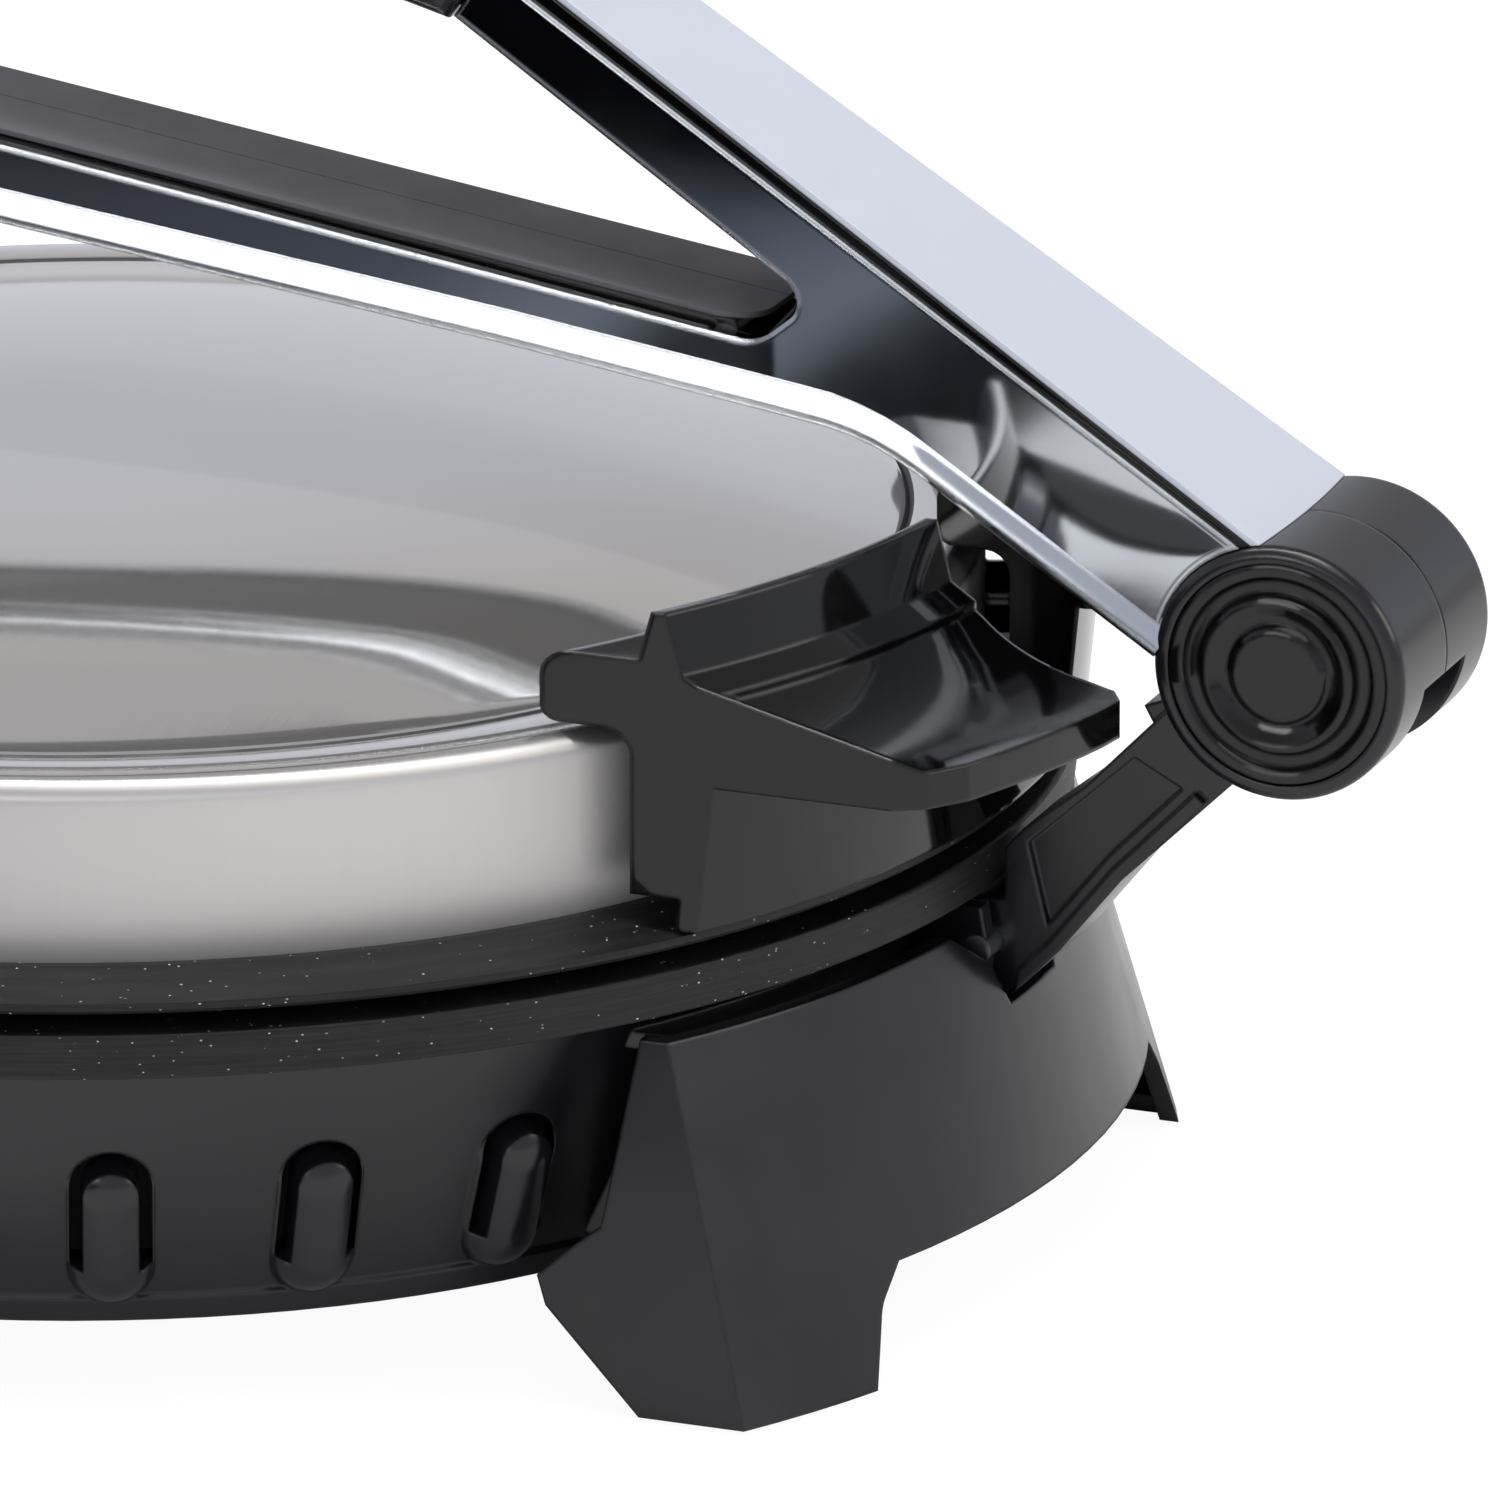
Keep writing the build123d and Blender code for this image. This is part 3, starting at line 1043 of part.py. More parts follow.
# ---- lid front handle and rear bracket share one ring section ----
# radii are drawn from the steel cover's side or from the plate's edge, heights from the cover's top
SHELF_IN_R = LID_R - 4.3
SHELF_Z = LID_TOP_Z + 11.1
SHELF_UNDER_Z = LID_TOP_Z + 1.1
PANEL_FOOT_Z = LID_FOOT_Z - 0.8
PANEL_R = PLATE_R + 3.5
NOSE_TOP_R = 3.6
NOSE_FOOT_R = 2.2
THROAT_R = 3.4
CORNER_STEPS = 5


def corner_arc(c_r, c_z, radius, start_deg, end_deg):
    step = (end_deg - start_deg) / CORNER_STEPS
    turns = [math.radians(start_deg + step * i) for i in range(CORNER_STEPS + 1)]
    return [(c_r + radius * math.cos(a), c_z + radius * math.sin(a)) for a in turns]


outside_line = corner_arc(SHELF_IN_R + NOSE_FOOT_R, SHELF_UNDER_Z + NOSE_FOOT_R, NOSE_FOOT_R, 270.0, 180.0)
outside_line += corner_arc(SHELF_IN_R + NOSE_TOP_R, SHELF_Z - NOSE_TOP_R, NOSE_TOP_R, 180.0, 90.0)
outside_line += [
    (LID_R + 7.1, SHELF_Z),
    (LID_R + 8.7, SHELF_Z + 6.7), (LID_R + 10.3, SHELF_Z + 6.7),
    (PLATE_R - 0.1, SHELF_Z - 1.7), (PANEL_R - 0.2, SHELF_Z - 4.0),
    (PANEL_R, WING_UNDER_Z), (PANEL_R - 2.0, PANEL_FOOT_Z),
]
skin = outside_line + [
    (PANEL_R - 4.6, PANEL_FOOT_Z), (PANEL_R - 2.7, WING_UNDER_Z - 0.3), (PANEL_R - 2.7, SHELF_Z - 5.5),
    (LID_R + 9.1, SHELF_Z - 2.8), (SHELF_IN_R + 2.4, SHELF_Z - 2.8), (SHELF_IN_R + 2.4, SHELF_UNDER_Z),
]
filled = outside_line + [
    (PANEL_R - 3.3, PANEL_FOOT_Z), (PLATE_R - 0.6, PANEL_FOOT_Z + 4.4),
    (LID_R + 6.1, PANEL_FOOT_Z + 4.4),
]
filled += corner_arc(LID_R + 6.1 - THROAT_R, SHELF_UNDER_Z - THROAT_R, THROAT_R, 0.0, 90.0)
skin_ring = lathe(skin)
filled_ring = lathe(filled)


def slab_x(a, b, sign):
    y = sorted([0.0, sign * FAR])
    return joined([block(a, b, y[0], y[1], 0.0, FAR), block(-b, -a, y[0], y[1], 0.0, FAR)])


def cover_section(sign, notch_half):
    y = sorted([0.0, sign * FAR])
    body = skin_ring & block(-HANDLE_HALF, HANDLE_HALF, y[0], y[1], 0.0, FAR)
    body = body + (filled_ring & slab_x(HANDLE_HALF - HANDLE_WALL, HANDLE_HALF, sign))
    if notch_half > 0:
        body = body + (filled_ring & slab_x(notch_half, notch_half + HANDLE_WALL, sign))
        body = body - block(-notch_half, notch_half, y[0], y[1], PANEL_MID_Z, FAR)
    return body


def fixing_bosses(sign):
    boss = radial_rod(FIX_BOSS_R, LID_R - 3.5, PANEL_R - 2.0, FIX_Z) - disc(LID_R + 0.02, 0.0, FAR)
    found = [Rot(0, 0, d) * boss for d in FIX_DIRS if d * sign > 0]
    return joined(found)


def fixing_holes(sign):
    hole = radial_rod(SCREW_R, LID_R - 3.5, LID_R + 10.5, FIX_Z)
    found = [Rot(0, 0, d) * hole for d in FIX_DIRS if d * sign > 0]
    return joined(found)


DRIVE_DEPTH = 1.0
DRIVE_ARM = 2.2
DRIVE_HALF = 0.4


def fixing_screws(sign):
    shank = radial_rod(SCREW_R - 0.05, FIX_LUG_IN_R, LID_R + 9.5, FIX_Z)
    head = radial_rod(SCREW_HEAD_R, FIX_LUG_IN_R - SCREW_HEAD_T, FIX_LUG_IN_R, FIX_Z)
    outer = FIX_LUG_IN_R - SCREW_HEAD_T
    inner = outer + DRIVE_DEPTH
    drive = block(outer, inner, -DRIVE_ARM, DRIVE_ARM, FIX_Z - DRIVE_HALF, FIX_Z + DRIVE_HALF)
    cross = block(outer, inner, -DRIVE_HALF, DRIVE_HALF, FIX_Z - DRIVE_ARM, FIX_Z + DRIVE_ARM)
    one = shank + head - drive - cross
    return group([Rot(0, 0, d) * one for d in FIX_DIRS if d * sign > 0])


write("handle_screws", fixing_screws(-1.0))
write("bracket_screws", fixing_screws(1.0))
handle = cover_section(-1.0, NOTCH_IN_HANDLE)

# the two lifting wings: straight along the sides, scooped between them, flat below, tips rounded in plan
WING_OUT_R = PLATE_R + 32.0
WING_IN = (PLATE_R + 0.9, SHELF_Z - 2.5)
WING_OUT = (WING_OUT_R, SHELF_Z - 11.4)
scoop = [
    WING_IN, (PLATE_R + 3.4, SHELF_Z - 5.4), (PLATE_R + 7.4, SHELF_Z - 8.0), (PLATE_R + 12.4, SHELF_Z - 9.9),
    (PLATE_R + 18.4, SHELF_Z - 11.1), (PLATE_R + 24.4, SHELF_Z - 11.6), WING_OUT,
]
wing_foot = [(WING_OUT_R, WING_UNDER_Z), (WING_IN[0], WING_UNDER_Z), WING_IN]
scooped_ring = revolve(Plane.XZ * make_face([Spline(*scoop), Polyline(WING_OUT, *wing_foot)]), axis=Axis.Z)
straight_ring = lathe([WING_OUT] + wing_foot)
WING_TIP_R = PLATE_R + 29.8
TIP_FROM_DEG = 22.4
TIP_TO_DEG = 12.4


def tip(share):
    a = math.radians(TIP_FROM_DEG + (TIP_TO_DEG - TIP_FROM_DEG) * share)
    return (-WING_TIP_R * math.sin(a), -WING_TIP_R * math.cos(a))


WING_SIDE_Y = -PLATE_R - 9.6
corner = (-HANDLE_HALF + 2.4, WING_SIDE_Y - 4.0)
inner = [(-30.6, -PLATE_R - 26.6), (-26.8, -PLATE_R - 24.4), (-24.9, -PLATE_R - 20.6)]
wing_edge = [
    Line((-HANDLE_HALF, -PLATE_R + 24.0), (-HANDLE_HALF, WING_SIDE_Y)),
    Line((-HANDLE_HALF, WING_SIDE_Y), corner), Line(corner, tip(0.0)),
    ThreePointArc(tip(0.0), tip(0.5), tip(1.0)),
    Polyline(tip(1.0), *inner, (-NOTCH_IN_HANDLE, -PLATE_R - 3.0), (-NOTCH_IN_HANDLE, -PLATE_R + 24.0),
             (-HANDLE_HALF, -PLATE_R + 24.0)),
]
# the scoop rises to the outer side edge as a plane that holds this edge
WING_RAMP = 0.42


def wing_side(y):
    r = math.hypot(HANDLE_HALF, y)
    return WING_IN[1] + (WING_OUT[1] - WING_IN[1]) * (r - WING_IN[0]) / (WING_OUT[0] - WING_IN[0])


side_back = Vector(-HANDLE_HALF, -PLATE_R + 24.0, wing_side(-PLATE_R + 24.0))
side_front = Vector(-HANDLE_HALF, WING_SIDE_Y, wing_side(WING_SIDE_Y))
edge_way = side_back - side_front
ramp_plane = Plane(origin=side_front, x_dir=edge_way, z_dir=Vector(1, 0, -WING_RAMP).cross(edge_way))
ramp = ramp_plane * Pos(0, 0, -FAR / 2) * Box(FAR, FAR, FAR)
wing = (scooped_ring + (straight_ring & ramp)) & prism_xy(make_face(wing_edge), 0.0, FAR)
wing_edges = []
for e in wing.edges():
    c = e.center()
    on_side = abs(c.X + HANDLE_HALF) < 0.05 and c.Z > LID_TOP_Z and c.Y < -PLATE_R - 5.0
    on_tip = c.Y < -PLATE_R - 6.0 and (math.hypot(c.X, c.Y) > WING_TIP_R - 1.0 or c.X > -NOTCH_IN_HANDLE - 8.0)
    if on_side or on_tip:
        wing_edges.append(e)
wing = soften(wing, wing_edges, [1.2, 0.8, 0.5])
handle = handle + wing + mirror(wing, about=Plane.YZ) + fixing_bosses(-1.0) - fixing_holes(-1.0)
write("front_handle", handle)

# ---- rear bracket: same section, with two arms down to the hinge pin ----
bracket = cover_section(1.0, 0.0)
arm_flat = face([
    (LID_R - 1.5, FIX_Z + 6.0), (LID_R - 1.5, FIX_Z), (PLATE_R, FIX_Z - 8.0), (PLATE_R + 8.0, FIX_Z - 16.0),
    (HINGE_Y - KNUCKLE_R, HINGE_Z + 2.0),
    (HINGE_Y - KNUCKLE_R * 0.7, HINGE_Z - KNUCKLE_R * 0.7), (HINGE_Y, HINGE_Z - KNUCKLE_R),
    (HINGE_Y + KNUCKLE_R * 0.7, HINGE_Z - KNUCKLE_R * 0.7), (HINGE_Y + KNUCKLE_R, HINGE_Z),
    (HINGE_Y + KNUCKLE_R, FIX_Z - 4.0), (HINGE_Y - 2.0, FIX_Z + 8.0),
])
outside_panel = disc(FAR, 0.0, FAR) - disc(PANEL_R - 1.5, 0.0, FAR)
for s in (-1.0, 1.0):
    x0 = min(s * ARM_IN, s * ARM_OUT)
    arm = prism_yz(arm_flat, x0, x0 + ARM_OUT - ARM_IN) & outside_panel
    arm = arm - rod_x(HINGE_PIN_R + PIN_FIT, x0 - 1.0, x0 + ARM_OUT - ARM_IN + 1.0, HINGE_Y, HINGE_Z)
    bracket = bracket + arm
bracket = bracket + fixing_bosses(1.0) - fixing_holes(1.0)
write("rear_bracket", bracket)
write("hinge_pin", rod_x(HINGE_PIN_R, -HINGE_PIN_HALF, HINGE_PIN_HALF, HINGE_Y, HINGE_Z))
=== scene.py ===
# %% [markdown]
# # Electric flatbread maker
# The real machine bakes dough between two hot round plates, while a lever at the front presses the
# steel lid down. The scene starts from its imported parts, which already have their exact shapes and
# sizes. The cells below set the camera, give every part the finish of its real material, draw the
# steel cover and the lever's bright lip in more detail, and light the machine on a plain pale floor.

# %% Load the parts
import json
import math

import bpy
from mathutils import Euler, Matrix, Vector


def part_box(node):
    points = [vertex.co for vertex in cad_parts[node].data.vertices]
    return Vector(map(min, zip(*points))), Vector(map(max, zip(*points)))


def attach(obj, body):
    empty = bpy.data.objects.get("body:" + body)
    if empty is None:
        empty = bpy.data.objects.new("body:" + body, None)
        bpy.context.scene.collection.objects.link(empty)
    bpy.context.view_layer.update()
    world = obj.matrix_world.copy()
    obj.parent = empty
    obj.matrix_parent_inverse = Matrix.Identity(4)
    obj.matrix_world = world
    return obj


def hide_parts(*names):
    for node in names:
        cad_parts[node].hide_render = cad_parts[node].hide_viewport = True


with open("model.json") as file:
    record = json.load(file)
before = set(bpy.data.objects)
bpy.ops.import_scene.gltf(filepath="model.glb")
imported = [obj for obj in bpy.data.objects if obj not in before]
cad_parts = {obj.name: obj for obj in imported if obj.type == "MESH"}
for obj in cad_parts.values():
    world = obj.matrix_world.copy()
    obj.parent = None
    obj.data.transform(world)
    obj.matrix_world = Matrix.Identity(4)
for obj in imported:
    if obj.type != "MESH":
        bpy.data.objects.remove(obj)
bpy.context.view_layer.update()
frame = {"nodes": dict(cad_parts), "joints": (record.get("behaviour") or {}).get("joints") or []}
nodes = frame["nodes"]
MM = 0.001

# %% [markdown]
# ## Camera
# Seen from close by, round plates look like eggs. A long lens from almost three metres away keeps them
# nearly free of perspective, as in a product picture. The camera stands at the left front of the
# machine and looks down on it by about 18 degrees, so that the lid's top and its side both show.

# %% Camera
LENS_MM = 487.6
SENSOR_MM = 36.0
CAMERA_AT = Vector((-2415.5, -1030.13, 931.25)) * MM
# degrees: tilt up from straight down, roll, and heading, where 0 looks along +Y
TILT, ROLL, HEADING = 71.594453, 0.064744, -68.516612
CLIP_FROM, CLIP_TO = 0.1, 50.0

camera_data = bpy.data.cameras.new("camera")
camera_data.lens = LENS_MM
camera_data.sensor_width = SENSOR_MM
camera_data.clip_start = CLIP_FROM
camera_data.clip_end = CLIP_TO
camera = bpy.data.objects.new("camera", camera_data)
bpy.context.scene.collection.objects.link(camera)
facing = Euler([math.radians(angle) for angle in (TILT, ROLL, HEADING)])
camera.matrix_world = Matrix.Translation(CAMERA_AT) @ facing.to_matrix().to_4x4()
bpy.context.scene.camera = camera
print("lens", LENS_MM, "mm, camera", round(CAMERA_AT.length, 2), "m from the origin")

# %% [markdown]
# ## Helpers for the finishes
# Each finish below is one Principled shader with a few texture nodes in front of it. Written out in
# full they would hide what matters, so one small function adds any node with its settings and links.
# Colours are sRGB hex values, as on a paint chart, and one function turns them into the linear light
# that Blender works in.

# %% Colours, nodes and materials


def hex_colour(text):
    parts = [int(text[i:i + 2], 16) / 255 for i in (1, 3, 5)]
    linear = [c / 12.92 if c <= 0.04045 else ((c + 0.055) / 1.055) ** 2.4 for c in parts]
    return (*linear, 1.0)


def add(tree, kind, links=None, values=None, **settings):
    # links lead into the node's sockets, values fill them, settings are the node's own choices
    node = tree.nodes.new(kind)
    for key, value in settings.items():
        setattr(node, key, value)
    for key, value in (values or {}).items():
        node.inputs[key].default_value = value
    for key, source in (links or {}).items():
        tree.links.new(source, node.inputs[key])
    return node


def finish(name, colour, roughness, metallic=0.0, **more):
    # more settings are named like the shader's sockets, with _ in place of a space
    material = bpy.data.materials.new(name)
    material.use_nodes = True
    tree = material.node_tree
    shader = tree.nodes["Principled BSDF"]
    shader.inputs["Base Color"].default_value = hex_colour(colour)
    shader.inputs["Roughness"].default_value = roughness
    shader.inputs["Metallic"].default_value = metallic
    for key, value in more.items():
        shader.inputs[key.replace("_", " ")].default_value = value
    return material, tree, shader


print("the grey #808080 is", round(hex_colour("#808080")[0], 3), "in linear light")

# %% [markdown]
# ## What all real surfaces share
# No made surface is perfectly even. It has a grain from its tool, its shine wanders from place to
# place, and its corners are never knife sharp. Pictures of surfaces could show this, but a noise whose
# scale is a real size in millimetres fits every part without being wrapped round it. Corners could be
# rounded in the mesh, but a rounded normal in the shading looks the same at this size and leaves the
# parts' exact shapes alone.

# %% Grain, dull patches and eased edges
# a noise seldom leaves this range, so this is what is spread over an effect's own range
CLOUD_LOW, CLOUD_HIGH = 0.3, 0.7
EDGE_SAMPLES = 6


def per_mm(tree, *sizes):
    # object coordinates counted in steps of the given sizes, one for each axis
    where = add(tree, "ShaderNodeTexCoord")
    scale = [1.0 / (s * MM) for s in (sizes if len(sizes) == 3 else sizes * 3)]
    place = add(tree, "ShaderNodeMapping", {"Vector": where.outputs["Object"]}, {"Scale": scale})
    return place.outputs["Vector"]


def uneven(tree, *sizes, detail=2.0, rough=0.5):
    # a value that wanders in patches of the given sizes
    values = {"Scale": 1.0, "Detail": detail, "Roughness": rough}
    noise = add(tree, "ShaderNodeTexNoise", {"Vector": per_mm(tree, *sizes)}, values)
    return noise.outputs["Fac"]


def dull_patches(tree, shader, size, low, high):
    # roughness that wanders from low to high, as moulding and wiping leave it
    value = add(tree, "ShaderNodeMapRange", {"Value": uneven(tree, size, detail=3.0)},
                {"From Min": CLOUD_LOW, "From Max": CLOUD_HIGH, "To Min": low, "To Max": high})
    tree.links.new(value.outputs["Result"], shader.inputs["Roughness"])


def relief(tree, shader, height, depth, edge=0.0):
    # relief of the given depth, on top of corners that are eased by the radius edge
    bump = add(tree, "ShaderNodeBump", {"Height": height}, {"Strength": 1.0, "Distance": depth * MM})
    if edge > 0:
        eased = add(tree, "ShaderNodeBevel", None, {"Radius": edge * MM}, samples=EDGE_SAMPLES)
        tree.links.new(eased.outputs["Normal"], bump.inputs["Normal"])
    tree.links.new(bump.outputs["Normal"], shader.inputs["Normal"])


print("sizes of grain and edges are in millimetres, edges take", EDGE_SAMPLES, "samples")

# %% [markdown]
# ## Satin ABS
# The base, strut, hub and grip are ABS, moulded in a spark-eroded tool that leaves a fine grain. One
# roughness value alone would look like paint. A relief with slow changes of roughness on top gives the
# broad, quiet highlight of moulded plastic: black with a soft sheen, never mirror-like.

# %% Satin ABS
satin_abs, tree, shader = finish("satin moulded ABS", "#131317", 0.24, IOR=1.5)
# the real grain is about 0.1 mm, drawn coarser here so that it shows
GRAIN_MM = 0.45
relief(tree, shader, uneven(tree, GRAIN_MM), depth=0.003, edge=0.7)
dull_patches(tree, shader, size=16.0, low=0.18, high=0.26)
print(satin_abs.name, "with a grain of", GRAIN_MM, "mm")

# %% [markdown]
# ## Gloss ABS
# The handle, rear bracket, hub caps and lever core come from a polished tool and mirror the room. A
# flat mirror would look like glass, so the surface gets the slow waves in which plastic flows and
# shrinks as it sets. They are far too shallow to see, but they bend what the surface mirrors.

# %% Gloss ABS
gloss_abs, tree, shader = finish("gloss moulded ABS", "#060607", 0.06, IOR=1.46)
FLOW_MM = 9.0
relief(tree, shader, uneven(tree, FLOW_MM, detail=1.0), depth=0.012, edge=0.9)
dull_patches(tree, shader, size=22.0, low=0.04, high=0.10)
print(gloss_abs.name, "with waves of", FLOW_MM, "mm")

# %% [markdown]
# ## Matt ABS
# The caps of the lever's lower branch have a coarse tool grain that scatters all light, so they look
# dark grey beside the gloss black. The grain is made in the same way as that of the satin ABS.

# %% Matt ABS for the rail caps
matt_abs, tree, shader = finish("matt dark grey ABS", "#5A5A5F", 0.6, IOR=1.5)
MATT_GRAIN_MM = 0.35
relief(tree, shader, uneven(tree, MATT_GRAIN_MM), depth=0.006, edge=0.3)
dull_patches(tree, shader, size=10.0, low=0.52, high=0.64)
print(matt_abs.name, "with a grain of", MATT_GRAIN_MM, "mm")

# %% [markdown]
# ## Brushed steel
# The lid is one sheet of stainless steel, brushed in straight lines before it was pressed, so the
# lines run along X on top and turn down over the rim. Thousands of scratches could be drawn one by
# one. Instead a noise that is stretched along X gives the lines, and the shader's anisotropy spreads
# the light across them, with a tangent that stays square to them all over the lid.

# %% Lines of the brush
# the finest scratches scatter a little of the light, hence a metallic value just under 1
brushed_steel, tree, shader = finish("brushed stainless steel", "#D2D0CE", 0.11, 0.86, Anisotropic=0.8)
# the real lines are 0.05 mm apart, drawn coarser here so that they show
LINE_MM = 0.22
LINE_RUN_MM = 14.0
lines = uneven(tree, LINE_RUN_MM, LINE_MM, LINE_RUN_MM, detail=4.0, rough=0.65)
relief(tree, shader, lines, depth=0.0006)
# almost along Y, a little askew, so that it is never quite square to a face
across = add(tree, "ShaderNodeCombineXYZ", None, {"X": 0.02, "Y": 1.0, "Z": 0.02})
tangent = add(tree, "ShaderNodeVectorTransform", {"Vector": across.outputs["Vector"]},
              vector_type="VECTOR", convert_from="OBJECT", convert_to="WORLD")
tree.links.new(tangent.outputs["Vector"], shader.inputs["Tangent"])
print(brushed_steel.name, "with lines", LINE_MM, "mm apart")

# %% Shine of the top and of the side
# the side was brushed again after pressing and is duller than the top
COVER_TOP_Z = 91.9
SIDE_TOP_Z = COVER_TOP_Z - 0.05
SIDE_FADE = 1.0
SIDE_DULLNESS = 0.4
polish = add(tree, "ShaderNodeMapRange", {"Value": lines},
             {"From Min": CLOUD_LOW, "From Max": CLOUD_HIGH, "To Min": 0.06, "To Max": 0.11})
where = add(tree, "ShaderNodeTexCoord")
place = add(tree, "ShaderNodeSeparateXYZ", {"Vector": where.outputs["Object"]})
dullness = add(tree, "ShaderNodeMapRange", {"Value": place.outputs["Z"]},
               {"From Min": (SIDE_TOP_Z - SIDE_FADE) * MM, "From Max": SIDE_TOP_Z * MM,
                "To Min": SIDE_DULLNESS, "To Max": 0.0})
shine = add(tree, "ShaderNodeMath", {0: polish.outputs["Result"], 1: dullness.outputs["Result"]},
            operation="ADD")
tree.links.new(shine.outputs[0], shader.inputs["Roughness"])
print("the side is duller by", SIDE_DULLNESS, "below", round(SIDE_TOP_Z, 2), "mm")

# %% [markdown]
# ## Painted shade in the crease
# A narrow crease runs round the lid's dome. Its faces get a rougher steel of their own, whose dark
# colour is painted shade: it stands in for the shade that falls into a crease this thin.

# %% Steel painted dark as shade
# the dark base colour is painted shade in the crease
crease_shade_steel, tree, shader = finish("steel painted dark as shade in the crease", "#4A4A4C", 0.5, 1.0)
dull_patches(tree, shader, size=5.0, low=0.45, high=0.6)
print(crease_shade_steel.name, "is ready")

# %% [markdown]
# ## Silver lacquer
# The cover of the lever's upper branch is sprayed with a silver lacquer: fine aluminium flake in a
# clear binder. The flake reflects as metal does and the binder doesn't, so the metallic value lies
# between the two. The highlight is wide and soft, and spraying leaves a faint grain.

# %% Satin silver lacquer
silver_lacquer, tree, shader = finish("satin silver lacquer", "#D8DDE9", 0.42, 0.45)
SPRAY_MM = 0.4
relief(tree, shader, uneven(tree, SPRAY_MM), depth=0.001, edge=0.3)
dull_patches(tree, shader, size=9.0, low=0.38, high=0.46)
print(silver_lacquer.name, "with a spray grain of", SPRAY_MM, "mm")

# %% [markdown]
# ## Chrome
# The cheeks of the lever are chrome plated. Chrome has hardly a colour of its own. What makes it read
# as chrome is that it mirrors dark and bright things with sharp borders, so its roughness is the
# lowest of all the metals here, and the stage below gives it something dark to mirror. The slow waves
# of the plate under the chrome keep the mirror image alive.

# %% Chrome plating
chrome, tree, shader = finish("bright chrome plating", "#B9BDC2", 0.05, 1.0)
WAVE_MM = 14.0
relief(tree, shader, uneven(tree, WAVE_MM, detail=1.0), depth=0.01, edge=1.3)
dull_patches(tree, shader, size=20.0, low=0.035, high=0.075)
print(chrome.name, "with waves of", WAVE_MM, "mm")

# %% [markdown]
# ## Metals inside and underneath
# Pins and screws are zinc plated, which is pale and cloudy. The sheets are rolled steel with faint
# lines along X. The sheath of a heating element turns brown and dull from heat. Little of them shows,
# even with the lid open, so each gets a base finish and one effect, and no more.

# %% Zinc plate
zinc, tree, shader = finish("zinc plated steel", "#B9BBBD", 0.32, 1.0)
CLOUD_MM = 3.0
dull_patches(tree, shader, size=CLOUD_MM, low=0.26, high=0.40)
print(zinc.name, "with clouds of", CLOUD_MM, "mm")

# %% Sheet steel
sheet_steel, tree, shader = finish("rolled sheet steel", "#9C9C9B", 0.42, 1.0)
ROLLED_RUN_MM, ROLLED_LINE_MM = 12.0, 0.6
relief(tree, shader, uneven(tree, ROLLED_RUN_MM, ROLLED_LINE_MM, ROLLED_LINE_MM), depth=0.003)
print(sheet_steel.name, "with lines", ROLLED_LINE_MM, "mm apart")

# %% Element sheath
sheath, tree, shader = finish("oxidised element sheath", "#4A423C", 0.55, 0.8)
SCALE_MM = 0.5
relief(tree, shader, uneven(tree, SCALE_MM), depth=0.01)
print(sheath.name, "with a scale of", SCALE_MM, "mm")

# %% [markdown]
# ## Coating of the plates
# The cast aluminium plates are turned on a lathe, which leaves fine lines round their rims, and are
# then sprayed with a black non-stick coating that holds a few pale mineral flecks. The flecks could be
# modelled, but there are thousands. Instead a pattern of cells picks about one cell in thirty and
# paints its middle.

# %% Pale flecks
nonstick, tree, shader = finish("flecked non-stick coating", "#161618", 0.52, Specular_IOR_Level=0.35)
FLECK_MM = 0.6
FLECK_HIGH_MM = 0.35
FLECK_RADIUS = 0.3
FLECK_SHARE = 0.035
cells = add(tree, "ShaderNodeTexVoronoi",
            {"Vector": per_mm(tree, FLECK_MM, FLECK_MM, FLECK_HIGH_MM)}, {"Scale": 1.0})
middle = add(tree, "ShaderNodeMath", {0: cells.outputs["Distance"]}, {1: FLECK_RADIUS},
             operation="LESS_THAN")
lot = add(tree, "ShaderNodeSeparateColor", {"Color": cells.outputs["Color"]})
chosen = add(tree, "ShaderNodeMath", {0: lot.outputs["Red"]}, {1: 1.0 - FLECK_SHARE},
             operation="GREATER_THAN")
fleck = add(tree, "ShaderNodeMath", {0: middle.outputs[0], 1: chosen.outputs[0]}, operation="MULTIPLY")
# a second lot makes some flecks paler than others
strength = add(tree, "ShaderNodeMath", {0: fleck.outputs[0], 1: lot.outputs["Green"]},
               operation="MULTIPLY")
paint = add(tree, "ShaderNodeMix", {"Factor": strength.outputs[0]}, data_type="RGBA")
paint.inputs["B"].default_value = hex_colour("#C9C6BE")
tree.links.new(paint.outputs["Result"], shader.inputs["Base Color"])
print(nonstick.name, "with a fleck in", FLECK_SHARE, "of the cells")

# %% Turned lines under the coating
# the crests are painted a little lighter than the grooves between them, a painted sheen for the light they
# catch, while the relief below gives the lines themselves
TURNED_LINE_MM = 0.35
TURNED_RUN_MM = 18.0
CREST_FROM, CREST_TO = 0.42, 0.68
turned = uneven(tree, TURNED_RUN_MM, TURNED_RUN_MM, TURNED_LINE_MM, detail=4.0, rough=0.7)
crests = add(tree, "ShaderNodeMapRange", {"Value": turned}, {"From Min": CREST_FROM, "From Max": CREST_TO})
coating_and_crest_sheen = add(tree, "ShaderNodeMix", {"Factor": crests.outputs["Result"]}, data_type="RGBA")
coating_and_crest_sheen.inputs["A"].default_value = hex_colour("#0A0A0B")
coating_and_crest_sheen.inputs["B"].default_value = hex_colour("#1C1C1E")
tree.links.new(coating_and_crest_sheen.outputs["Result"], paint.inputs["A"])
relief(tree, shader, turned, depth=0.03)
print("turned lines", TURNED_LINE_MM, "mm apart")

# %% [markdown]
# ## Rubber and ceramic
# The pads under the feet, the pad on the press nose and the bush of the cord are moulded rubber, matt
# because their mould is sand blasted. The thermostat and the terminal block have to bear heat, so they
# are pressed from steatite, a pale ceramic that is left unglazed. Little of either shows, so a fine
# relief and a high roughness are enough.

